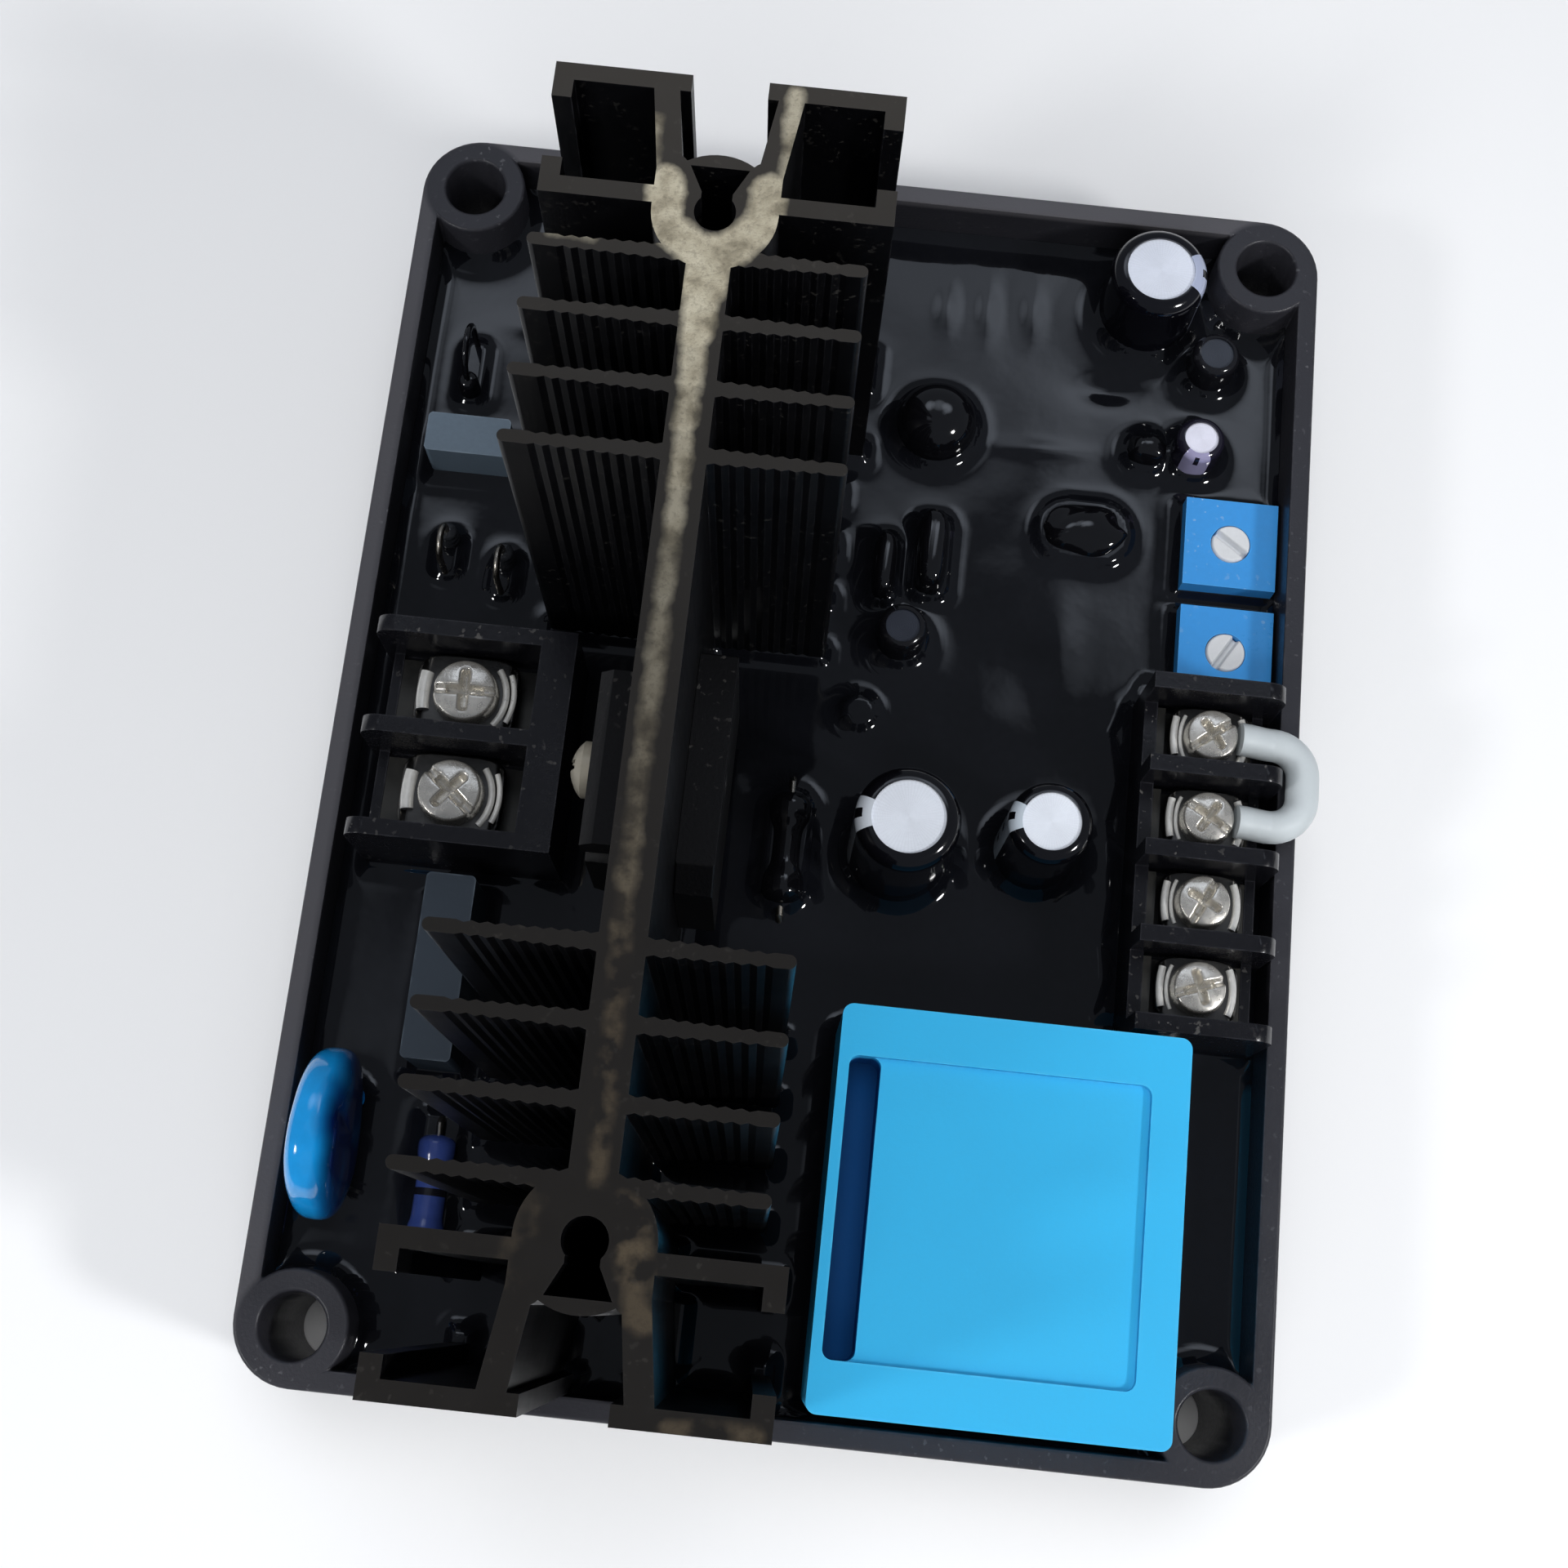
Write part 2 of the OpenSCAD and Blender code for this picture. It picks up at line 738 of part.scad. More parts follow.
// Link wire: a U from the first pole to the second, round the end of their barrier
link_over_mouth = 0.5;
link_out = 0.9;
link_arm = 0.1;
link_drop = link_over_mouth + link_d / 2 - link_core_d / 2 - fit_gap / 2;
link_z = board_top + small_floor_h + contact_t + link_over_mouth + link_d / 2;
link_bend_x = small_x + link_out - small_pitch / 2 + link_d / 2;
link_y = small_y + cell_y(0, small_poles, small_pitch) - small_pitch / 2;
link_low_x = small_x - small_screw_in + (small_clamp_x + link_core_d) / 2;
link_bare = link_arm + link_core_d / 2;
link_run = link_bend_x - link_bare - link_low_x;

// Two quarter bends and two straight arms
module link_path(d, arm) {
    for (turn = [0, -90])
        rotate(turn)
            rotate_extrude(angle = 90)
                translate([small_pitch / 2, 0])
                    circle(d = d);
    for (side = [-1, 1])
        translate([-arm, side * small_pitch / 2, 0])
            rotate([0, 90, 0])
                cylinder(h = arm, d = d);
}

// The bare end steps down to the contact and stops short of the screw
module bare_end() {
    inner_x = small_x - small_screw_in + small_screw_d / 2 + running_gap;
    sphere(d = link_core_d);
    rotate([0, -90 - atan2(link_drop, link_run), 0])
        cylinder(h = norm([link_drop, link_run]), d = link_core_d);
    translate([-link_run, 0, -link_drop]) {
        sphere(d = link_core_d);
        rotate([0, -90, 0])
            cylinder(h = link_low_x - inner_x, d = link_core_d);
    }
}

module link_conductor() {
    color([0.8, 0.6, 0.45])
    translate([link_bend_x, link_y, link_z]) {
        link_path(link_core_d, link_bare);
        for (side = [-1, 1])
            translate([-link_bare, side * small_pitch / 2, 0])
                bare_end();
    }
}

module link_insulation() {
    color([0.85, 0.86, 0.87])
    translate([link_bend_x, link_y, link_z])
    difference() {
        link_path(link_d, link_arm);
        link_path(link_core_d + 2 * fit_gap, link_arm + over);
    }
}

// Trimmers: square bodies with a captive slotted rotor
trimmer_wall_gap = 0.4;
trimmer_foot_gap = 1.4;
rotor_flange_d = 1.5 * rotor_d;
rotor_flange_h = 0.22 * trimmer_h;
rotor_floor_h = 0.35 * trimmer_h;
rotor_proud = 0.05 * trimmer_h;
slot_share = 0.17;
trimmer_x = cavity_w / 2 - trimmer_wall_gap - trimmer_w / 2;
trimmer_2_y = small_y + small_l / 2 + trimmer_foot_gap + trimmer_w / 2;
trimmer_y = [trimmer_2_y + trimmer_w + trimmer_gap, trimmer_2_y];
rotor_turn = [-35, 58];

module at_trimmer(i) {
    translate([trimmer_x, trimmer_y[i], board_top])
        children();
}

module trimmer_body(i) {
    color([0.2, 0.5, 0.85])
    at_trimmer(i)
    difference() {
        box_on([trimmer_w, trimmer_w, trimmer_h]);
        translate([0, 0, rotor_floor_h])
            cylinder(h = rotor_flange_h + 2 * running_gap, r = rotor_flange_d / 2 + running_gap);
        translate([0, 0, rotor_floor_h])
            cylinder(h = trimmer_h, r = rotor_d / 2 + running_gap);
    }
}

module trimmer_rotor(i) {
    color([0.92, 0.92, 0.88])
    at_trimmer(i)
    rotate(rotor_turn[i])
    translate([0, 0, rotor_floor_h + running_gap])
    difference() {
        union() {
            cylinder(h = rotor_flange_h, d = rotor_flange_d);
            cylinder(h = trimmer_h - rotor_floor_h - running_gap + rotor_proud, d = rotor_d);
        }
        translate([-rotor_d, -slot_share * rotor_d / 2, trimmer_h - rotor_floor_h - 3 * rotor_proud])
            cube([2 * rotor_d, slot_share * rotor_d, trimmer_h]);
    }
}

// Transformer: a potted shell with a sunk panel and a deep slot along one side of it
shell_corner_r = 1;
panel_in_x = 1;
panel_in_y = 4.6;
panel_right_in = 3.4;

module transformer() {
    panel_l = transformer_l - 2 * panel_in_y;
    panel_w = transformer_w - panel_in_x - panel_right_in;
    color([0.2, 0.68, 0.9])
    translate([transformer_x, transformer_y, board_top])
    difference() {
        rounded_plate(transformer_w, transformer_l, transformer_h, shell_corner_r);
        translate([-transformer_w / 2 + panel_in_x + panel_w / 2, 0, transformer_h - recess_depth])
            rounded_plate(panel_w, panel_l, recess_depth + over, shell_corner_r);
        translate([-transformer_w / 2 + panel_in_x + slot_w / 2, 0, transformer_h - slot_depth])
            rounded_plate(slot_w, panel_l, slot_depth + over, 0.9 * shell_corner_r);
    }
}

// Electrolytic capacitors: an aluminium can in a shrunk sleeve that laps over its shoulder
tall_can_share = [0.2, -0.121];
corner_can_share = [0.666, 0.885];
medium_can_share = [0.497, -0.095];
pale_can_share = [0.8, 0.627];
grey_can_share = [0.825, 0.785];
low_can_share = [0.163, 0.243];
shoulder_share = 0.12;
lap_share = 0.3;

module can(share, d, h) {
    r = d / 2 - sleeve_t - fit_gap;
    shoulder = shoulder_share * d;
    color([0.8, 0.81, 0.83])
    translate(spot(share))
        rotate_extrude()
            union() {
                square([r, h - sleeve_t - shoulder]);
                square([r - shoulder, h - sleeve_t]);
                intersection() {
                    translate([r - shoulder, h - sleeve_t - shoulder])
                        circle(shoulder);
                    square([r, h]);
                }
            }
}

module sleeve(share, d, h) {
    r = d / 2;
    shoulder = shoulder_share * d;
    bore = shoulder + fit_gap;
    outer = shoulder + sleeve_t + fit_gap;
    color([0.09, 0.09, 0.12])
    translate(spot(share))
        rotate_extrude()
            difference() {
                union() {
                    square([r, h - outer]);
                    square([r - outer, h]);
                    intersection() {
                        translate([r - outer, h - outer])
                            circle(outer);
                        square([r, h]);
                    }
                }
                union() {
                    translate([0, -over])
                        square([r - sleeve_t, h - sleeve_t - bore + over]);
                    translate([0, -over])
                        square([r - sleeve_t - bore, h - sleeve_t + over]);
                    intersection() {
                        translate([r - sleeve_t - bore, h - sleeve_t - bore])
                            circle(bore);
                        square([r, h]);
                    }
                    translate([0, h / 2])
                        square([r - lap_share * r, h]);
                }
            }
}

// Varistor: a lens-edged disc on edge, on two leads
varistor_share = [-0.912, -0.661];
varistor_lift = 1.2;
varistor_lead_pitch = 7.5;
varistor_lead_d = 0.8;

module varistor() {
    edge_r = 0.42 * varistor_t;
    disc_r = varistor_d / 2;
    color([0.1, 0.45, 0.8])
    translate(spot(varistor_share)) {
        translate([0, 0, varistor_lift + disc_r])
            rotate([0, 90, 0])
                rotate_extrude()
                    union() {
                        translate([0, -edge_r])
                            square([disc_r - edge_r, 2 * edge_r]);
                        intersection() {
                            translate([disc_r - edge_r, 0])
                                circle(edge_r);
                            translate([0, -edge_r])
                                square([disc_r, 2 * edge_r]);
                        }
                        for (side = [0, 1])
                            mirror([0, side])
                                translate([0, edge_r])
                                    scale_arc(disc_r - edge_r, varistor_t / 2 - edge_r);
                    }
        for (side = [-1, 1])
            translate([side * varistor_t / 6, side * varistor_lead_pitch / 2, 0])
                cylinder(h = varistor_lift + disc_r / 2, d = varistor_lead_d);
    }
}

// Box-shaped film capacitors
film_x_share = -0.725;
film_block_gap = 2.1;
film_x = film_x_share * cavity_w / 2;
film_y = large_y - large_l / 2 - film_block_gap - film_l / 2;
box_share = [-0.852, 0.489];
box_edge_r = 0.5;

module film_capacitor() {
    color([0.33, 0.38, 0.43])
    translate([film_x, film_y, board_top])
        rounded_plate(film_t, film_l, film_h, box_edge_r);
}

module box_capacitor() {
    color([0.42, 0.48, 0.53])
    translate(spot(box_share))
        rounded_plate(box_l, box_t, box_h, box_edge_r);
}

// A lying body along Y: a waisted cylinder with rounded, fuller ends
module dumbbell(d, l, waist) {
    end_l = 0.22 * l;
    rotate([-90, 0, 0])
        translate([0, 0, -l / 2])
            rotate_extrude()
                union() {
                    square([d / 2 * waist, l]);
                    for (z = [0, l - end_l])
                        translate([0, z])
                            rounded_bar(d / 2, end_l, 0.3 * end_l);
                }
}

module rounded_bar(r, l, edge) {
    square([r - edge, l]);
    translate([0, edge])
        square([r, l - 2 * edge]);
    for (z = [edge, l - edge])
        intersection() {
            translate([r - edge, z])
                circle(edge);
            square([r, l]);
        }
}

lead_d = 0.7;

// Two leads of a lying part: out of each end, then down to the board
module lying_leads(l, axis_h) {
    stub = 2.2 * lead_d;
    for (side = [-1, 1]) {
        translate([0, side * (l / 2 - over), axis_h])
            rotate([side * -90, 0, 0])
                cylinder(h = stub + over, d = lead_d);
        translate([0, side * (l / 2 + stub), axis_h])
            sphere(d = lead_d);
        translate([0, side * (l / 2 + stub), 0])
            cylinder(h = axis_h, d = lead_d);
    }
}

power_resistor_share = [-0.703, -0.727];
axial_diode_share = [-0.042, -0.131];
resistor_axis_h = potting_cover + 0.4 * resistor_d;
diode_axis_h = potting_cover + 0.2 * diode_d;

module power_resistor() {
    color([0.38, 0.42, 0.65])
    translate(spot(power_resistor_share)) {
        translate([0, 0, resistor_axis_h])
            dumbbell(resistor_d, resistor_l, 0.88);
        lying_leads(resistor_l, resistor_axis_h);
    }
}

module axial_diode() {
    color([0.08, 0.08, 0.09])
    translate(spot(axial_diode_share)) {
        translate([0, 0, diode_axis_h])
            dumbbell(diode_d, diode_l, 0.8);
        lying_leads(diode_l, diode_axis_h);
    }
}

// Coated drop capacitor: a short post under a round dome
drop_share = [0.2, 0.632];
drop_post_h = potting_cover + 1.6;

module dome_post(d, post_h, rise) {
    rotate_extrude()
        union() {
            square([d / 2, post_h]);
            translate([0, post_h])
                scale_arc(d / 2, rise);
        }
}

module drop_capacitor() {
    color([0.06, 0.06, 0.07])
    translate(spot(drop_share))
        dome_post(drop_d, drop_post_h, 0.38 * drop_d);
}

// Lying coated disc capacitor, on its flat side
disc_share = [0.56, 0.468];
disc_l = 9.6;
disc_w = 6.8;
disc_h = potting_cover + 2.4;

module disc_capacitor() {
    color([0.07, 0.07, 0.08])
    translate(spot(disc_share))
        rounded_plate(disc_l, disc_w, disc_h, 0.46 * disc_w);
}

// Two upright coated plate capacitors, side by side
plate_share = [0.215, 0.395];
thin_share = [0.112, 0.365];
plate_l = 9;
plate_t = 3.4;
plate_h = potting_cover + 4.4;
thin_l = 7.4;
thin_t = 2.6;
thin_h = potting_cover + 3.4;

module upright_plate(share, l, t, h) {
    color([0.07, 0.07, 0.08])
    translate(spot(share))
        rotate([90, 0, 90])
            translate([0, 0, -t / 2])
                linear_extrude(t)
                    union() {
                        translate([-l / 2, 0])
                            square([l, h - l / 3]);
                        translate([-l / 6, 0])
                            square([l / 3, h]);
                        for (side = [-1, 1])
                            translate([side * l / 6, h - l / 3])
                                circle(l / 3);
                    }
}

// Small transistor: a round back and a flat front
transistor_share = [0.69, 0.62];
transistor_d = 4.2;
transistor_h = potting_cover + 3;

module small_transistor() {
    color([0.06, 0.06, 0.07])
    translate(spot(transistor_share))
        rotate(20)
            difference() {
                cylinder(h = transistor_h, d = transistor_d);
                translate([-transistor_d, -transistor_d - transistor_d / 4, -over])
                    cube([2 * transistor_d, transistor_d, transistor_h + 2 * over]);
            }
}

bead_share = [0.087, 0.113];

module small_bead() {
    color([0.07, 0.07, 0.08])
    translate(spot(bead_share))
        dome_post(1.4 * bead_d, potting_cover, 0.4 * bead_d);
}

// Upright axial parts: the body stands on end and one lead loops over to the board
upright_diode_share = [-0.884, 0.608];
upright_1_share = [-0.877, 0.334];
upright_2_share = [-0.745, 0.308];
upright_body_l = 1.6 * bead_d;
diode_span = 2.4 * bead_d;
resistor_span = 1.6 * bead_d;

module upright(share, span, turn) {
    base_h = potting_cover;
    loop_h = base_h + upright_body_l + lead_d;
    translate(spot(share))
    rotate(turn) {
        translate([0, 0, base_h + upright_body_l / 2])
            rotate([90, 0, 0])
                dumbbell(bead_d, upright_body_l, 0.85);
        cylinder(h = base_h + over, d = lead_d);
        translate([0, 0, loop_h - lead_d - over])
            cylinder(h = lead_d + over, d = lead_d);
        translate([0, -span / 2, loop_h])
            rotate([90, 0, -90])
                rotate_extrude(angle = 180)
                    translate([span / 2, 0])
                        circle(d = lead_d);
        translate([0, -span, 0])
            cylinder(h = loop_h, d = lead_d);
    }
}

module upright_diode() {
    color([0.08, 0.08, 0.09])
        upright(upright_diode_share, diode_span, 180);
}

module upright_resistor_1() {
    color([0.3, 0.32, 0.34])
        upright(upright_1_share, resistor_span, 0);
}

module upright_resistor_2() {
    color([0.3, 0.32, 0.34])
        upright(upright_2_share, resistor_span, 0);
}

// What the potting surrounds, each a little larger than the part
module round_pocket(share, d) {
    translate(spot(share))
        cylinder(h = potting_cover + over, r = d / 2 + potting_gap);
}

module square_pocket(share, x, y) {
    translate(spot(share))
        box_on([x + 2 * potting_gap, y + 2 * potting_gap, potting_cover + over]);
}

module lead_pockets(share, l) {
    translate(spot(share))
        for (side = [-1, 1])
            translate([0, side * (l / 2 + 2.2 * lead_d), 0])
                cylinder(h = potting_cover + over, r = lead_d / 2 + potting_gap);
}

module upright_pockets(share, span, turn) {
    translate(spot(share))
        rotate(turn)
            for (y = [0, -span])
                translate([0, y, 0])
                    cylinder(h = potting_cover + over, r = lead_d / 2 + potting_gap);
}

module device_lead_pockets(count, pitch) {
    for (i = [0:1:count - 1])
        translate([0, (i - (count - 1) / 2) * pitch, 0])
            box_on([lead_t + 2 * potting_gap, lead_w + 2 * potting_gap, potting_cover + over]);
}

module pockets() {
    along_spine() {
        linear_extrude(potting_cover + over)
            sink_profile(potting_gap);
        translate([-spine_t / 2 - device_t / 2, 0, 0])
            device_lead_pockets(3, device_lead_pitch);
        translate([spine_t / 2 + bridge_t / 2, 0, 0])
            device_lead_pockets(4, bridge_lead_pitch);
    }
    in_small_block()
        linear_extrude(potting_cover + over)
            block_outline(small_w, small_poles, small_pitch, small_ledge, potting_gap);
    in_large_block()
        linear_extrude(potting_cover + over)
            block_outline(large_w, large_poles, large_pitch, large_ledge, potting_gap);
    for (i = [0, 1])
        at_trimmer(i)
            box_on([trimmer_w + 2 * potting_gap, trimmer_w + 2 * potting_gap, potting_cover + over]);
    translate([transformer_x, transformer_y, board_top])
        rounded_plate(transformer_w + 2 * potting_gap, transformer_l + 2 * potting_gap,
            potting_cover + over, shell_corner_r + potting_gap);
    round_pocket(tall_can_share, can_large_d);
    round_pocket(corner_can_share, can_large_d);
    round_pocket(medium_can_share, can_medium_d);
    round_pocket(pale_can_share, can_small_d);
    round_pocket(grey_can_share, can_small_d);
    round_pocket(low_can_share, can_small_d);
    round_pocket(drop_share, drop_d);
    round_pocket(transistor_share, transistor_d);
    round_pocket(bead_share, 1.4 * bead_d);
    translate([film_x, film_y, board_top])
        box_on([film_t + 2 * potting_gap, film_l + 2 * potting_gap, potting_cover + over]);
    square_pocket(box_share, box_l, box_t);
    square_pocket(plate_share, plate_t, plate_l);
    square_pocket(thin_share, thin_t, thin_l);
    translate(spot(disc_share))
        rounded_plate(disc_l + 2 * potting_gap, disc_w + 2 * potting_gap, potting_cover + over,
            0.46 * disc_w + potting_gap);
    square_pocket(varistor_share, varistor_t, varistor_d);
    square_pocket(power_resistor_share, resistor_d, resistor_l);
    square_pocket(axial_diode_share, diode_d, diode_l);
    lead_pockets(power_resistor_share, resistor_l);
    lead_pockets(axial_diode_share, diode_l);
    upright_pockets(upright_diode_share, diode_span, 180);
    upright_pockets(upright_1_share, resistor_span, 0);
    upright_pockets(upright_2_share, resistor_span, 0);
}

// Potting: fills the tray under, round and over the board
module potting_compound() {
    color([0.03, 0.03, 0.04])
    difference() {
        translate([0, 0, case_floor])
            rounded_plate(cavity_w, cavity_l, potting_z - case_floor, case_corner_r - case_wall);
        at_corners()
            translate([0, 0, -over])
                cylinder(h = case_h, d = post_d);
        circuit_board();
        pockets();
    }
}

case();
potting_compound();
circuit_board();
heatsink();
power_transistor();
bridge_rectifier();
device_screw();
small_block_body();
for (i = [0:1:3]) {
    small_contact(i);
    small_clamp(i);
}
small_block_screws();
large_block_body();
for (i = [0:1:1]) {
    large_contact(i);
    large_clamp(i);
    trimmer_body(i);
    trimmer_rotor(i);
}
large_block_screws();
link_conductor();
link_insulation();
transformer();
can(tall_can_share, can_large_d, can_tall_h);  // tall_can
sleeve(tall_can_share, can_large_d, can_tall_h);  // tall_can_sleeve
can(corner_can_share, can_large_d, can_corner_h);  // corner_can
sleeve(corner_can_share, can_large_d, can_corner_h);  // corner_can_sleeve
can(medium_can_share, can_medium_d, can_medium_h);  // medium_can
sleeve(medium_can_share, can_medium_d, can_medium_h);  // medium_can_sleeve
can(pale_can_share, can_small_d, can_small_h);  // pale_can
sleeve(pale_can_share, can_small_d, can_small_h);  // pale_can_sleeve
can(grey_can_share, can_small_d, can_small_h);  // grey_can
sleeve(grey_can_share, can_small_d, can_small_h);  // grey_can_sleeve
can(low_can_share, can_small_d, can_small_h);  // low_can
sleeve(low_can_share, can_small_d, can_small_h);  // low_can_sleeve
varistor();
film_capacitor();
box_capacitor();
power_resistor();
axial_diode();
drop_capacitor();
disc_capacitor();
upright_plate(plate_share, plate_l, plate_t, plate_h);  // plate_capacitor
upright_plate(thin_share, thin_l, thin_t, thin_h);  // thin_capacitor
small_transistor();
small_bead();
upright_diode();
upright_resistor_1();
upright_resistor_2();
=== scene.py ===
import math

import bmesh
import bpy
import numpy as np
from mathutils import Matrix, Vector


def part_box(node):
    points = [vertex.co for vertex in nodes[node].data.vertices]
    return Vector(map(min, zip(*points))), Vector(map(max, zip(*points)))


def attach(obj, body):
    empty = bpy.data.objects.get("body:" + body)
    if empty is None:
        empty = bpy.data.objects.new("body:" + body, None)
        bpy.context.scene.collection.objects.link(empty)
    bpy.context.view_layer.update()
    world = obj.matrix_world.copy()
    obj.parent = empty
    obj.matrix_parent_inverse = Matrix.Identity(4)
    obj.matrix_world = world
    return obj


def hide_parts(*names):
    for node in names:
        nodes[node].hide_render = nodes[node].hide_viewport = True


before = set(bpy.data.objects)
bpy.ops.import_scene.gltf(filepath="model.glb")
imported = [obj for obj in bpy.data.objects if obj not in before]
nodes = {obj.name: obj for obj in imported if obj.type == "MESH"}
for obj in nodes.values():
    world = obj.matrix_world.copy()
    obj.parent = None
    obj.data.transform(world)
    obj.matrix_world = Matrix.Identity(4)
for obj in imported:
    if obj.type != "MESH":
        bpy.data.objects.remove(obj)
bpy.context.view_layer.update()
mm = 0.001
board = "board_assembly"
print("frame loaded:", len(nodes), "nodes")


# Lowest and highest corners of a node, in millimetres
def boxMm(node):
    low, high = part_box(node)
    return [v / mm for v in low], [v / mm for v in high]


def middleMm(node):
    return [(a + b) / 2 for a, b in zip(*boxMm(node))]


def halfMm(node):
    return [(b - a) / 2 for a, b in zip(*boxMm(node))]


# Levels of the part and the plan of its tray, in millimetres
levels = {"potting": boxMm("potting_compound")[1][2], "board": boxMm("circuit_board")[1][2],
          "floor": boxMm("potting_compound")[0][2]}
postInset = 5.5
tray = {"cavity": halfMm("potting_compound")[:2], "corner": 4.0, "postRadius": 5.2,
        "post": [half - postInset for half in halfMm("case")[:2]]}


# Meshes
def setSmooth(mesh, degrees):
    for polygon in mesh.polygons:
        polygon.use_smooth = True
    shape = bmesh.new()
    shape.from_mesh(mesh)
    for edge in shape.edges:
        edge.smooth = len(edge.link_faces) == 2 and edge.calc_face_angle(0.0) < math.radians(degrees)
    shape.to_mesh(mesh)
    shape.free()


# Makes a piece from points in millimetres
def newPiece(name, verts, faces, material, body=board, replaced=(), slotName=None, degrees=38):
    mesh = bpy.data.meshes.new(name)
    mesh.from_pydata([tuple(v * mm for v in p) for p in verts], [], faces)
    mesh.validate()
    setSmooth(mesh, degrees)
    mesh.materials.append(material)
    piece = bpy.data.objects.new(name, mesh)
    bpy.context.scene.collection.objects.link(piece)
    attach(piece, body)
    if replaced:
        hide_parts(*replaced)
    return piece


# Quads between rings of points that close on themselves
def ringFaces(bands, columns):
    faces = []
    for j in range(bands):
        low, high = j * columns, (j + 1) * columns
        for i in range(columns):
            n = (i + 1) % columns
            faces.append((low + i, low + n, high + n, high + i))
    return faces


# Joins doubled points and turns the faces outward
def weldPiece(piece):
    shape = bmesh.new()
    shape.from_mesh(piece.data)
    bmesh.ops.remove_doubles(shape, verts=shape.verts, dist=1e-7)
    bmesh.ops.recalc_face_normals(shape, faces=shape.faces)
    shape.to_mesh(piece.data)
    shape.free()


# Shader trees
def feed(tree, socket, value):
    if isinstance(value, bpy.types.NodeSocket):
        tree.links.new(value, socket)
    else:
        socket.default_value = value


def add(tree, kind, links=None, **settings):
    node = tree.nodes.new(kind)
    for key, value in settings.items():
        setattr(node, key, value)
    for key, value in (links or {}).items():
        feed(tree, node.inputs[key], value)
    return node


def calc(tree, operation, a, b=0.0, c=0.0, clamp=False):
    return add(tree, "ShaderNodeMath", {0: a, 1: b, 2: c}, operation=operation, use_clamp=clamp).outputs[0]


def times(tree, first, second, **rest):
    return calc(tree, "MULTIPLY", first, second, **rest)


def vectorCalc(tree, operation, a, b, output="Vector"):
    return add(tree, "ShaderNodeVectorMath", {0: a, 1: b}, operation=operation).outputs[output]


def mapped(tree, value, low, high, toLow=0.0, toHigh=1.0):
    node = add(tree, "ShaderNodeMapRange",
               {"Value": value, "From Min": low, "From Max": high, "To Min": toLow, "To Max": toHigh})
    return node.outputs["Result"]


# Fades in between two places given in millimetres
def mappedMm(tree, value, span, toHigh=1.0):
    return mapped(tree, value, span[0] * mm, span[1] * mm, 0.0, toHigh)


def mixed(tree, factor, first, second):
    return add(tree, "ShaderNodeMix", {0: factor, 6: first, 7: second}, data_type="RGBA").outputs[2]


def noise(tree, place, scale, detail=2.0, roughness=0.5):
    return add(tree, "ShaderNodeTexNoise", {"Vector": place, "Scale": scale, "Detail": detail,
                                            "Roughness": roughness}).outputs["Fac"]


def bumped(tree, strength, distance, height, normal=None):
    links = {"Strength": strength, "Distance": distance, "Height": height}
    if normal is not None:
        links["Normal"] = normal
    return add(tree, "ShaderNodeBump", links).outputs[0]


def objectPlace(tree):
    return add(tree, "ShaderNodeTexCoord").outputs["Object"]


def axesOf(tree, vector):
    return add(tree, "ShaderNodeSeparateXYZ", {0: vector}).outputs


def facingUp(tree):
    return axesOf(tree, add(tree, "ShaderNodeNewGeometry").outputs["Normal"])["Z"]


def length(tree, x, y):
    return calc(tree, "SQRT", calc(tree, "MULTIPLY_ADD", x, x, times(tree, y, y)))


def between(tree, value, low, high):
    return times(tree, calc(tree, "GREATER_THAN", value, low), calc(tree, "LESS_THAN", value, high))


def newGroup(name, inputs, outputs):
    group = bpy.data.node_groups.new(name, "ShaderNodeTree")
    for label, kind, value in inputs:
        socket = group.interface.new_socket(name=label, in_out="INPUT", socket_type=kind)
        socket.default_value = value
    for label, kind in outputs:
        group.interface.new_socket(name=label, in_out="OUTPUT", socket_type=kind)
    start = group.nodes.new("NodeGroupInput")
    end = group.nodes.new("NodeGroupOutput")
    return group, start.outputs, end.inputs


floatSocket = "NodeSocketFloat"
colorSocket = "NodeSocketColor"
vectorSocket = "NodeSocketVector"


# Uneven gloss and a fine moulded or extruded grain
def makeGrainGroup():
    group, given, out = newGroup(
        "surfaceGrain",
        [("Scale", floatSocket, 900.0), ("Stretch X", floatSocket, 1.0), ("Stretch Y", floatSocket, 1.0),
         ("Stretch Z", floatSocket, 1.0), ("Bump", floatSocket, 0.1), ("Rough Low", floatSocket, 0.3),
         ("Rough High", floatSocket, 0.5)],
        [("Roughness", floatSocket), ("Normal", vectorSocket), ("Tone", floatSocket)])
    place = objectPlace(group)
    stretch = add(group, "ShaderNodeCombineXYZ",
                  {"X": given["Stretch X"], "Y": given["Stretch Y"], "Z": given["Stretch Z"]})
    fine = noise(group, vectorCalc(group, "MULTIPLY", place, stretch.outputs[0]), given["Scale"], 3.0, 0.6)
    broad = noise(group, place, 90.0, 3.0)
    blend = calc(group, "MULTIPLY_ADD", broad, 0.6, times(group, fine, 0.4))
    span = calc(group, "SUBTRACT", given["Rough High"], given["Rough Low"])
    rough = calc(group, "MULTIPLY_ADD", mapped(group, blend, 0.35, 0.65), span, given["Rough Low"])
    feed(group, out["Roughness"], rough)
    feed(group, out["Normal"], bumped(group, given["Bump"], 0.0001, fine))
    feed(group, out["Tone"], mapped(group, blend, 0.3, 0.7))
    return group


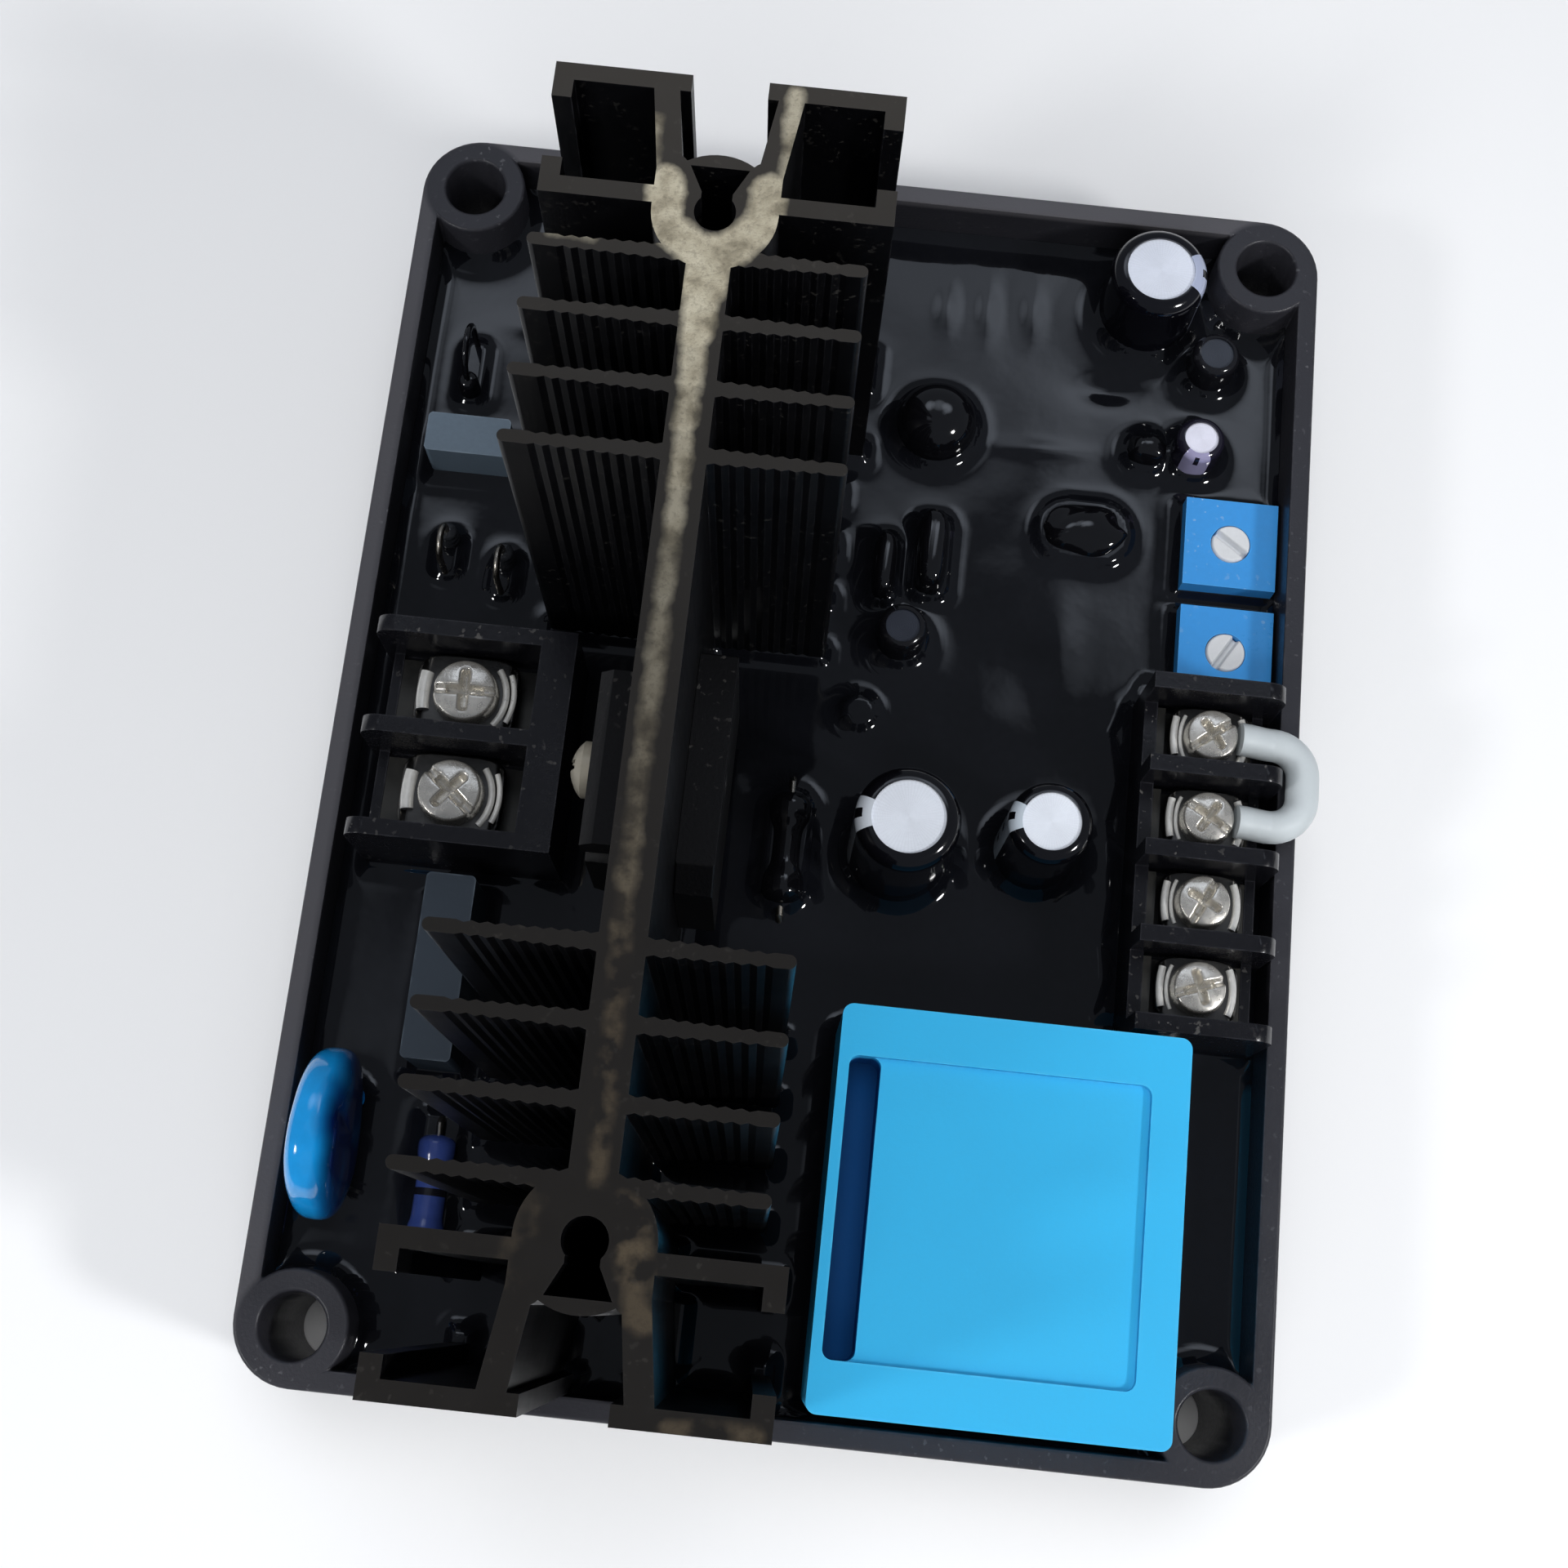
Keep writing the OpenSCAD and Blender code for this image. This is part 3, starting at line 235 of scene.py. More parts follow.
# Rubbed edges with painted edge highlights: paler where the surface turns sharply
def makeEdgeWearAndHighlightGroup():
    group, given, out = newGroup(
        "rubbedEdgeAndHighlight",
        [("Color", colorSocket, (0.1, 0.1, 0.1, 1)), ("Rubbed And Highlight Color", colorSocket, (0.3, 0.3, 0.3, 1)),
         ("Width", floatSocket, 0.0003), ("Amount", floatSocket, 0.5), ("Scale", floatSocket, 500.0)],
        [("Color", colorSocket)])
    rounded = add(group, "ShaderNodeBevel", {"Radius": given["Width"]}, samples=4).outputs[0]
    flat = add(group, "ShaderNodeNewGeometry").outputs["Normal"]
    sharp = mapped(group, vectorCalc(group, "DOT_PRODUCT", rounded, flat, "Value"), 0.995, 0.86)
    broken = mapped(group, noise(group, objectPlace(group), given["Scale"], 4.0), 0.38, 0.62)
    mask = times(group, times(group, sharp, broken), given["Amount"], clamp=True)
    feed(group, out["Color"], mixed(group, mask, given["Color"], given["Rubbed And Highlight Color"]))
    return group


# Pale flecks in patches, most on what faces up
def makeDustGroup():
    group, given, out = newGroup(
        "dustFlecks",
        [("Color", colorSocket, (0.1, 0.1, 0.1, 1)), ("Dust Color", colorSocket, (0.5, 0.48, 0.44, 1)),
         ("Amount", floatSocket, 0.5), ("Scale", floatSocket, 1400.0)],
        [("Color", colorSocket)])
    place = objectPlace(group)
    spots = mapped(group, noise(group, place, given["Scale"]), 0.64, 0.7)
    where = mapped(group, noise(group, place, 110.0, 3.0), 0.42, 0.68)
    upward = mapped(group, facingUp(group), 0.1, 0.8, 0.25, 1.0)
    mask = times(group, times(group, spots, where), times(group, upward, given["Amount"]), clamp=True)
    feed(group, out["Color"], mixed(group, mask, given["Color"], given["Dust Color"]))
    return group


# A stripe down one side of a round sleeve
def makeStripeGroup():
    group, given, out = newGroup(
        "sideStripe",
        [("Centre X", floatSocket, 0.0), ("Centre Y", floatSocket, 0.0), ("Angle", floatSocket, 0.0),
         ("Half Width", floatSocket, 0.4), ("Inner", floatSocket, 0.003)],
        [("Mask", floatSocket), ("Angle", floatSocket), ("Radius", floatSocket)])
    place = axesOf(group, objectPlace(group))
    x = calc(group, "SUBTRACT", place["X"], given["Centre X"])
    y = calc(group, "SUBTRACT", place["Y"], given["Centre Y"])
    angle = calc(group, "SUBTRACT", calc(group, "ARCTAN2", y, x), given["Angle"])
    wrapped = calc(group, "WRAP", angle, math.pi, -math.pi)
    radius = length(group, x, y)
    inside = calc(group, "LESS_THAN", calc(group, "ABSOLUTE", wrapped), given["Half Width"])
    feed(group, out["Mask"], times(group, inside, calc(group, "GREATER_THAN", radius, given["Inner"])))
    feed(group, out["Angle"], wrapped)
    feed(group, out["Radius"], radius)
    return group


grainGroup = makeGrainGroup()
edgeWearAndHighlightGroup = makeEdgeWearAndHighlightGroup()
dustGroup = makeDustGroup()
stripeGroup = makeStripeGroup()


def useGroup(tree, group, links):
    return add(tree, "ShaderNodeGroup", links, node_tree=group).outputs


# Linear colour from 0-255 screen values
def srgb(r, g, b):
    def line(v):
        v = v / 255
        return v / 12.92 if v <= 0.04045 else ((v + 0.055) / 1.055) ** 2.4
    return (line(r), line(g), line(b), 1.0)


def shaded(color, share):
    return tuple(min(1.0, v * share) for v in color[:3]) + (1,)


# A Principled material with uneven gloss, grain, rubbed edges that also carry painted edge highlights, and dust
def newMaterial(name, color, rough=(0.35, 0.5), metal=0.0, ior=1.45, coat=0.0, bump=0.08, scale=1200.0,
                stretch=(1, 1, 1), rubbedAndHighlight=None, rubbedAndHighlightWidth=0.0003, rubbedAndHighlightAmount=0.6, dust=0.0,
                dustColor=(0.45, 0.43, 0.4, 1), tone=0.12):
    material = bpy.data.materials.new(name)
    material.use_nodes = True
    tree = material.node_tree
    shader = tree.nodes["Principled BSDF"].inputs
    for label, value in (("Metallic", metal), ("IOR", ior), ("Coat Weight", coat), ("Coat Roughness", 0.05)):
        shader[label].default_value = value
    grain = useGroup(tree, grainGroup, {"Scale": scale, "Bump": bump, "Rough Low": rough[0],
                                        "Rough High": rough[1], "Stretch X": stretch[0],
                                        "Stretch Y": stretch[1], "Stretch Z": stretch[2]})
    tint = mixed(tree, grain["Tone"], shaded(color, 1 - tone), shaded(color, 1 + tone))
    if rubbedAndHighlight:
        tint = useGroup(tree, edgeWearAndHighlightGroup, {"Color": tint, "Rubbed And Highlight Color": rubbedAndHighlight, "Width": rubbedAndHighlightWidth,
                                          "Amount": rubbedAndHighlightAmount})["Color"]
    if dust:
        tint = useGroup(tree, dustGroup, {"Color": tint, "Dust Color": dustColor, "Amount": dust})["Color"]
    feed(tree, shader["Base Color"], tint)
    feed(tree, shader["Roughness"], grain["Roughness"])
    feed(tree, shader["Normal"], grain["Normal"])
    return material


# The tree, its shader's inputs, and what feeds one of them now
def parts(material):
    tree = material.node_tree
    return tree, tree.nodes["Principled BSDF"].inputs


def fedBy(socket):
    return socket.links[0].from_socket


# Materials
# The paler edge colours below stand both for rubbed wear and for painted edge highlights
trayPlastic = newMaterial("trayPlastic", srgb(44, 44, 49), rough=(0.3, 0.46), bump=0.35, scale=2600,
                          rubbedAndHighlight=srgb(108, 108, 114), rubbedAndHighlightWidth=0.00035, rubbedAndHighlightAmount=0.4, dust=0.35,
                          dustColor=srgb(140, 140, 144))
blockPlastic = newMaterial("blockPlastic", srgb(17, 17, 21), rough=(0.18, 0.3), bump=0.12, scale=2200,
                           rubbedAndHighlight=srgb(76, 76, 82), rubbedAndHighlightWidth=0.00025, rubbedAndHighlightAmount=0.4, dust=0.2)
epoxyBlack = newMaterial("epoxyBlack", srgb(7, 7, 9), rough=(0.5, 0.64), ior=1.36, bump=0.3, scale=3000,
                         dust=0.1)
epoxyGloss = newMaterial("epoxyGloss", srgb(10, 10, 13), rough=(0.05, 0.12), bump=0.05, scale=700, coat=0.6)
boardGreen = newMaterial("boardGreen", srgb(40, 92, 60), rough=(0.3, 0.45))
trimmerBlue = newMaterial("trimmerBlue", srgb(56, 142, 212), rough=(0.26, 0.38), bump=0.1, scale=1800,
                          tone=0.06, rubbedAndHighlight=srgb(120, 190, 240), rubbedAndHighlightWidth=0.0002, rubbedAndHighlightAmount=0.4, dust=0.5,
                          dustColor=srgb(190, 205, 215))
rotorWhite = newMaterial("rotorWhite", srgb(208, 210, 213), rough=(0.4, 0.55), bump=0.15, scale=2600,
                         tone=0.08)
transformerBlue = newMaterial("transformerBlue", srgb(51, 174, 226), rough=(0.6, 0.74), bump=0.16, scale=2200,
                              tone=0.03, rubbedAndHighlight=srgb(96, 196, 240), rubbedAndHighlightWidth=0.0004, rubbedAndHighlightAmount=0.5)
varistorBlue = newMaterial("varistorBlue", srgb(24, 152, 226), rough=(0.06, 0.16), bump=0.1, scale=500,
                           coat=0.7, tone=0.15)
slatePlastic = newMaterial("slatePlastic", srgb(42, 50, 59), rough=(0.35, 0.5), bump=0.2, scale=2000,
                           tone=0.1, rubbedAndHighlight=srgb(110, 122, 132), rubbedAndHighlightAmount=0.5)
boxGrey = newMaterial("boxGrey", srgb(90, 104, 117), rough=(0.3, 0.45), bump=0.2, scale=2000, tone=0.12,
                      rubbedAndHighlight=srgb(140, 152, 162), rubbedAndHighlightAmount=0.5)
linkGrey = newMaterial("linkGrey", srgb(190, 197, 200), rough=(0.38, 0.5), bump=0.06, scale=900, tone=0.04)
tinnedWire = newMaterial("tinnedWire", srgb(205, 196, 182), rough=(0.22, 0.4), metal=1.0, bump=0.2,
                         scale=2000)
# The clamp plates and their strips are one steel: the plates take a darker copy as painted shade, the strips a
# brighter, more diffuse copy as painted highlight
clampSteelShade = newMaterial("clampSteelShade", srgb(104, 102, 99), rough=(0.26, 0.4), metal=1.0, bump=0.25, scale=1500)
clampSteelHighlight = newMaterial("clampSteelHighlight", srgb(222, 221, 217), rough=(0.26, 0.42), metal=0.4, bump=0.25,
                         scale=1500, tone=0.2)
screwSteel = newMaterial("screwSteel", srgb(226, 222, 214), rough=(0.18, 0.36), metal=0.8, bump=0.4,
                         scale=1300, tone=0.22)
contactTin = newMaterial("contactTin", srgb(84, 82, 78), rough=(0.34, 0.5), metal=1.0, bump=0.2, scale=1500)
zincScrew = newMaterial("zincScrew", srgb(158, 152, 138), rough=(0.3, 0.5), metal=0.35, bump=0.3, scale=1200,
                        tone=0.15)
resistorGrey = newMaterial("resistorGrey", srgb(38, 40, 44), rough=(0.1, 0.2), coat=0.5, bump=0.1, scale=900)

# Painted sheen of reflected light on the tray's far and left rims: where it fades in, in millimetres, and its
# colour
rimSheenLook = {"far": (60.8, 61.8), "left": (-45.2, -46.2), "leftShare": 0.75, "height": (19.0, 19.6),
            "fromPost": (5.0, 5.6), "color": srgb(80, 79, 83)}


# The screw posts stay clear of the painted sheen
def paintRimSheen():
    tree, shader = parts(trayPlastic)
    place = axesOf(tree, objectPlace(tree))
    far = mappedMm(tree, place["Y"], rimSheenLook["far"])
    left = mappedMm(tree, place["X"], rimSheenLook["left"], rimSheenLook["leftShare"])
    high = mappedMm(tree, place["Z"], rimSheenLook["height"])
    fromX = calc(tree, "SUBTRACT", calc(tree, "ABSOLUTE", place["X"]), tray["post"][0] * mm)
    fromY = calc(tree, "SUBTRACT", calc(tree, "ABSOLUTE", place["Y"]), tray["post"][1] * mm)
    offPost = mappedMm(tree, length(tree, fromX, fromY), rimSheenLook["fromPost"])
    sheen = times(tree, calc(tree, "MAXIMUM", far, left), times(tree, high, offPost))
    feed(tree, shader["Base Color"], mixed(tree, sheen, fedBy(shader["Base Color"]), rimSheenLook["color"]))


paintRimSheen()

# The transformer's slot: where it darkens below the top, its reach from the left side and from both ends,
# in millimetres, its share and colour
slotLook = {"depth": (1.1, 2.4), "left": (0.6, 6.0), "ends": 2.0, "share": 0.96, "color": srgb(10, 58, 116)}


# The transformer's deep slot lies in its own shade
def darkenSlot():
    low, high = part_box("transformer")
    tree, shader = parts(transformerBlue)
    place = axesOf(tree, objectPlace(tree))
    top, left = high[2], low[0]
    deep = mapped(tree, place["Z"], top - slotLook["depth"][0] * mm, top - slotLook["depth"][1] * mm)
    across = between(tree, place["X"], left + slotLook["left"][0] * mm, left + slotLook["left"][1] * mm)
    along = between(tree, place["Y"], low[1] + slotLook["ends"] * mm, high[1] - slotLook["ends"] * mm)
    shade = times(tree, times(tree, deep, across), times(tree, along, slotLook["share"]))
    feed(tree, shader["Base Color"], mixed(tree, shade, fedBy(shader["Base Color"]), slotLook["color"]))


darkenSlot()

# Painted shade on the varistor's far face: where the darker blue starts and is full, from its middle, and its
# wavy edge
farFaceShadeLook = {"span": (2.2, 4.2), "wave": 3.4, "scale": 210.0, "color": srgb(12, 44, 112)}


# Paints shade on the varistor's far face, darker blue than its lit side
def paintVaristorShade():
    tree, shader = parts(varistorBlue)
    place = objectPlace(tree)
    wobble = noise(tree, place, farFaceShadeLook["scale"], 1.0)
    across = calc(tree, "MULTIPLY_ADD", wobble, farFaceShadeLook["wave"] * mm, axesOf(tree, place)["X"])
    middle = middleMm("varistor")[0]
    far = mappedMm(tree, across, [middle + reach for reach in farFaceShadeLook["span"]])
    feed(tree, shader["Base Color"], mixed(tree, far, fedBy(shader["Base Color"]), farFaceShadeLook["color"]))


paintVaristorShade()

# Waves in the potting's skin: scale, bump strength and depth in metres of the broad and the fine ones
rippleLook = {"broad": (55.0, 0.35, 0.0004), "fine": (420.0, 0.3, 0.00003)}


def makePotting():
    material = newMaterial("pottingGloss", srgb(14, 15, 19), rough=(0.035, 0.07), ior=1.5, bump=0.0, tone=0.25)
    tree, shader = parts(material)
    place = objectPlace(tree)
    normal = None
    for scale, strength, depth in rippleLook.values():
        normal = bumped(tree, strength, depth, noise(tree, place, scale), normal)
    feed(tree, shader["Normal"], normal)
    return material


pottingGloss = makePotting()

# Bands of the lying resistor: place along Y and half width in millimetres, colour
bandPlaces = [(-42.6, 0.35, srgb(20, 20, 26)), (-45.2, 0.35, srgb(18, 18, 24))]


# Blue lacquer with dark bands, by the place along the body
def makeResistorBands():
    material = newMaterial("resistorLacquer", srgb(46, 62, 118), rough=(0.14, 0.24), coat=0.4, bump=0.1,
                           scale=1200, tone=0.15)
    tree, shader = parts(material)
    tint = fedBy(shader["Base Color"])
    along = axesOf(tree, objectPlace(tree))["Y"]
    for centre, half, color in bandPlaces:
        tint = mixed(tree, between(tree, along, (centre - half) * mm, (centre + half) * mm), tint, color)
    feed(tree, shader["Base Color"], tint)
    return material


resistorLacquer = makeResistorBands()

# Pale residue on the heatsink's top: start, end, radius and strength of each stroke, in millimetres
residueStrokes = [
    ((-13.1, 30.4), (-13.3, 27.6), 1.75, 1.0),
    ((-13.3, 27.6), (-13.5, 23.0), 1.2, 0.95),
    ((-13.5, 23.0), (-13.4, 19.0), 0.85, 0.8),
    ((-13.4, 19.0), (-13.4, 15.0), 0.72, 0.68),
    ((-13.4, 15.0), (-13.4, 10.0), 0.62, 0.56),
    ((-13.4, 10.0), (-13.4, 5.0), 0.54, 0.44),
    ((-13.4, 5.0), (-13.4, -3.0), 0.48, 0.3),
    ((-13.4, -3.0), (-13.4, -12.0), 0.56, 0.27),
    ((-13.4, -12.0), (-13.5, -20.0), 0.55, 0.25),
    ((-13.5, -20.0), (-13.4, -27.0), 0.55, 0.23),
    ((-13.2, -27.0), (-12.9, -45.0), 0.6, 0.2),
    ((-7.6, 46.2), (-7.6, 41.6), 0.5, 0.75),
    ((-7.6, 41.6), (-7.8, 37.6), 0.35, 0.6),
    ((-18.9, 42.4), (-19.0, 37.2), 0.32, 0.55),
    ((-17.5, 36.6), (-17.3, 33.0), 1.45, 1.0),
    ((-17.3, 33.0), (-14.0, 30.2), 1.4, 1.0),
    ((-8.9, 36.8), (-9.0, 33.6), 1.4, 0.95),
    ((-9.0, 33.6), (-12.3, 30.3), 1.5, 1.0),
    ((-10.5, -46.8), (-9.3, -51.1), 1.2, 0.27),
    ((-9.3, -51.1), (-8.5, -54.2), 1.0, 0.22),
    ((-17.6, -47.0), (-18.4, -52.0), 1.1, 0.08),
    ((-5.8, -61.4), (0.5, -61.4), 0.5, 0.2),
    ((-26.5, 31.0), (-23.0, 30.8), 0.18, 0.4),
]
# The residue's ragged edge and where it is worn to patches, in millimetres, and its colours
residueLook = {"edge": (1.05, 0.3), "ragged": 1.1, "worn": (0.0, -30.0), "dark": srgb(150, 142, 122),
               "pale": srgb(188, 181, 161), "wornColor": srgb(122, 107, 84)}
# The cut top face: its colours at the near and the far end, and the places along Y that they belong to
cutLook = {"near": srgb(27, 25, 23), "far": srgb(56, 53, 49), "span": (-60.0, 46.0), "power": 3.0,
           "below": 1.0, "share": 0.9}


# How far a place on the top lies from each stroke, as one mask
def strokeMask(tree, place, wobble):
    axes = axesOf(tree, place)
    flat = add(tree, "ShaderNodeCombineXYZ", {"X": axes["X"], "Y": axes["Y"], "Z": 0.0}).outputs[0]
    total = None
    for start, end, radius, strength in residueStrokes:
        origin = Vector((start[0], start[1], 0)) * mm
        reach = Vector((end[0], end[1], 0)) * mm - origin
        away = vectorCalc(tree, "SUBTRACT", flat, origin)
        along = vectorCalc(tree, "DOT_PRODUCT", away, reach / reach.length_squared, "Value")
        along = times(tree, along, 1.0, clamp=True)
        step = add(tree, "ShaderNodeVectorMath", {0: reach, "Scale": along}, operation="SCALE").outputs[0]
        gap = vectorCalc(tree, "DISTANCE", away, step, "Value")
        ragged = calc(tree, "MULTIPLY_ADD", wobble, residueLook["ragged"] * mm, gap)
        edge = [radius + width for width in residueLook["edge"]]
        mask = times(tree, mappedMm(tree, ragged, edge), strength)
        total = mask if total is None else calc(tree, "MAXIMUM", total, mask)
    return total


# Black anodised extrusion, its cut top face streaked with pale residue
def makeAnodised():
    material = newMaterial("anodisedBlack", srgb(5, 5, 7), rough=(0.34, 0.48), ior=1.32, bump=0.3, scale=500,
                           stretch=(1, 1, 0.04), rubbedAndHighlight=srgb(66, 66, 70), rubbedAndHighlightWidth=0.00022, rubbedAndHighlightAmount=0.5,
                           dust=0.4, dustColor=srgb(150, 146, 138))
    tree, shader = parts(material)
    place = objectPlace(tree)
    axes = axesOf(tree, place)
    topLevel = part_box("heatsink")[1][2] - cutLook["below"] * mm
    onTop = times(tree, mapped(tree, facingUp(tree), 0.5, 0.8), calc(tree, "GREATER_THAN", axes["Z"], topLevel))
    grains = noise(tree, place, 2600.0, 3.0, 0.7)
    clumps = noise(tree, place, 420.0, 3.0)
    covered = strokeMask(tree, place, noise(tree, place, 520.0, 4.0))
    covered = times(tree, covered, mapped(tree, clumps, 0.3, 0.48, 0.6, 1.0))
    covered = times(tree, covered, mapped(tree, grains, 0.34, 0.5, 0.72, 1.0))
    # towards the near end the residue is worn down to patches
    worn = mappedMm(tree, axes["Y"], residueLook["worn"])
    patches = calc(tree, "SUBTRACT", mapped(tree, clumps, 0.42, 0.6), 1.0)
    covered = times(tree, covered, calc(tree, "MULTIPLY_ADD", worn, patches, 1.0))
    mask = times(tree, covered, onTop, clamp=True)
    along = calc(tree, "POWER", mappedMm(tree, axes["Y"], cutLook["span"]), cutLook["power"])
    cut = mixed(tree, along, cutLook["near"], cutLook["far"])
    topFace = mixed(tree, times(tree, onTop, cutLook["share"]), fedBy(shader["Base Color"]), cut)
    sand = mixed(tree, mapped(tree, clumps, 0.35, 0.65), residueLook["dark"], residueLook["pale"])
    sand = mixed(tree, worn, sand, residueLook["wornColor"])
    feed(tree, shader["Base Color"], mixed(tree, mask, topFace, sand))
    feed(tree, shader["Roughness"], calc(tree, "MULTIPLY_ADD", mask, 0.45, fedBy(shader["Roughness"])))
    feed(tree, shader["Normal"], bumped(tree, times(tree, mask, 0.8), 0.0002, grains, fedBy(shader["Normal"])))
    return material


anodisedBlack = makeAnodised()
print("materials made")

# Each can: direction and half width of its sleeve's stripe in degrees and radians, colours of the sleeve,
# its stripe and the can's top
canLooks = {
    "tall_can": {"stripe": 180, "half": 0.36, "sleeve": srgb(9, 9, 13), "mark": srgb(196, 202, 210),
                 "top": srgb(226, 231, 240)},
    "medium_can": {"stripe": 176, "half": 0.4, "sleeve": srgb(9, 9, 13), "mark": srgb(184, 194, 204),
                   "top": srgb(228, 233, 242)},
    "corner_can": {"stripe": 2, "half": 0.5, "sleeve": srgb(10, 10, 16), "mark": srgb(168, 176, 200),
                   "top": srgb(226, 231, 243)},
    "pale_can": {"stripe": 262, "half": 0.6, "sleeve": srgb(26, 24, 36), "mark": srgb(150, 146, 178),
                 "top": srgb(230, 230, 244)},
    "grey_can": {"stripe": 60, "half": 0.01, "sleeve": srgb(20, 20, 24), "mark": srgb(46, 48, 54),
                 "top": srgb(54, 58, 67)},
    "low_can": {"stripe": 120, "half": 0.01, "sleeve": srgb(14, 14, 17), "mark": srgb(60, 64, 74),
                "top": srgb(40, 44, 54)},
}
# Dark dashes down each stripe: dashes in a metre, dark share of each, half width in radians
dashLook = {"beat": 240.0, "share": 0.3, "half": 0.1}
# Turned rings and the fan of light on each can's top
drawnLook = {"bow": 0.16, "base": 0.85, "fan": 0.1, "rays": 57.0, "rings": 42000.0, "dim": 0.78}


def makeSleeve(node):
    look = canLooks[node]
    material = newMaterial(node + "Sleeve", look["sleeve"], rough=(0.08, 0.16), coat=0.5, bump=0.06, scale=600)
    tree, shader = parts(material)
    x, y, _ = middleMm(node)
    low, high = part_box(node)
    stripe = useGroup(tree, stripeGroup, {"Centre X": x * mm, "Centre Y": y * mm,
                                          "Inner": 0.1 * (high[0] - low[0]),
                                          "Angle": math.radians(look["stripe"]), "Half Width": look["half"]})
    below = calc(tree, "SUBTRACT", high[2], axesOf(tree, objectPlace(tree))["Z"])
    beat = calc(tree, "FRACT", times(tree, below, dashLook["beat"]))
    dash = times(tree, calc(tree, "LESS_THAN", beat, dashLook["share"]),
                 calc(tree, "LESS_THAN", calc(tree, "ABSOLUTE", stripe["Angle"]), dashLook["half"]))
    paint = mixed(tree, dash, look["mark"], look["sleeve"])
    feed(tree, shader["Base Color"], mixed(tree, stripe["Mask"], fedBy(shader["Base Color"]), paint))
    return material


# Drawn aluminium: fine turned rings and a soft bow of light
def makeCanTop(node):
    color = canLooks[node]["top"]
    material = newMaterial(node + "Top", color, rough=(0.3, 0.42), metal=0.1, bump=0.1, scale=2200, tone=0.05)
    tree, shader = parts(material)
    x, y, _ = middleMm(node)
    turned = useGroup(tree, stripeGroup, {"Centre X": x * mm, "Centre Y": y * mm, "Angle": 0.5,
                                          "Half Width": 0.0, "Inner": 0.0})
    bow = calc(tree, "COSINE", times(tree, turned["Angle"], 2.0))
    fan = calc(tree, "SINE", times(tree, turned["Angle"], drawnLook["rays"]))
    light = calc(tree, "MULTIPLY_ADD", bow, drawnLook["bow"], drawnLook["base"])
    light = calc(tree, "MULTIPLY_ADD", fan, drawnLook["fan"], light, clamp=True)
    tint = mixed(tree, light, shaded(color, drawnLook["dim"]), fedBy(shader["Base Color"]))
    feed(tree, shader["Base Color"], tint)
    rings = calc(tree, "SINE", times(tree, turned["Radius"], drawnLook["rings"]))
    feed(tree, shader["Normal"], bumped(tree, 0.12, 0.00005, rings, fedBy(shader["Normal"])))
    return material


# CAD nodes that stay: material, and width of the softened edge in millimetres
keptLooks = {
    "case": (trayPlastic, 0.35), "circuit_board": (boardGreen, 0), "heatsink": (anodisedBlack, 0.12),
    "power_transistor": (epoxyBlack, 0.15), "bridge_rectifier": (epoxyBlack, 0.2),
    "device_screw": (zincScrew, 0),
    "small_block_body": (blockPlastic, 0.16), "large_block_body": (blockPlastic, 0.18),
    "link_conductor": (tinnedWire, 0), "trimmer_body_1": (trimmerBlue, 0.2),
    "trimmer_body_2": (trimmerBlue, 0.2), "transformer": (transformerBlue, 0.45),
    "film_capacitor": (slatePlastic, 0.3), "box_capacitor": (boxGrey, 0.3),
}


def dress(node, material):
    slots = nodes[node].data.materials
    slots.clear()
    slots.append(material)


def soften(node, width):
    piece = nodes[node]
    piece.modifiers.new("weld", "WELD").merge_threshold = 1e-6
    bevel = piece.modifiers.new("bevel", "BEVEL")
    bevel.width = width * mm
    bevel.segments = 2
    bevel.limit_method = "ANGLE"
    bevel.angle_limit = math.radians(40)
    bevel.use_clamp_overlap = True
    bevel.harden_normals = True


for node, (material, width) in keptLooks.items():
    dress(node, material)
    if width:
        soften(node, width)
for node in nodes:
    if "_contact_" in node:
        dress(node, contactTin)
for node in canLooks:
    dress(node, makeCanTop(node))
    dress(node + "_sleeve", makeSleeve(node))
print("CAD nodes dressed")


# Potting with menisci: gaps from a round or a box plan, in millimetres
def circleGap(x, y, cx, cy, r):
    return np.hypot(x - cx, y - cy) - r


def boxGap(x, y, cx, cy, hx, hy, r=0.0):
    dx = np.abs(x - cx) - (hx - r)
    dy = np.abs(y - cy) - (hy - r)
    outside = np.hypot(np.maximum(dx, 0), np.maximum(dy, 0))
    return outside + np.minimum(np.maximum(dx, dy), 0) - r


# The heatsink's profile as simple bars, from its own centre: centre and half sizes
sinkMiddle = (-13.195, -7.4)
finPlaces = [20.0, 25.9, 31.8, 37.7]
sinkBars = [(0, 0, 1.85, 40.6)]
for side in (-1, 1):
    sinkBars += [(-1.0, side * y, 13.9, 0.68) for y in finPlaces]
    sinkBars += [(0, side * 42.9, 14.9, 0.8), (-9.1, side * 53.6, 5.85, 0.8), (9.1, side * 53.6, 5.85, 0.8),
                 (-14.05, side * 51.7, 0.85, 1.7), (14.05, side * 51.7, 0.85, 1.7),
                 (-5.4, side * 49.3, 1.1, 4.2), (5.4, side * 49.3, 1.1, 4.2),
                 (-4.0, side * 43.5, 1.3, 3.4), (4.0, side * 43.5, 1.3, 3.4)]

# How high the potting climbs on what stands in it, and how far that reaches, in millimetres
menisci = {"wall": (0.9, 0.5), "post": (1.3, 0.8), "sink": (1.1, 0.55)}
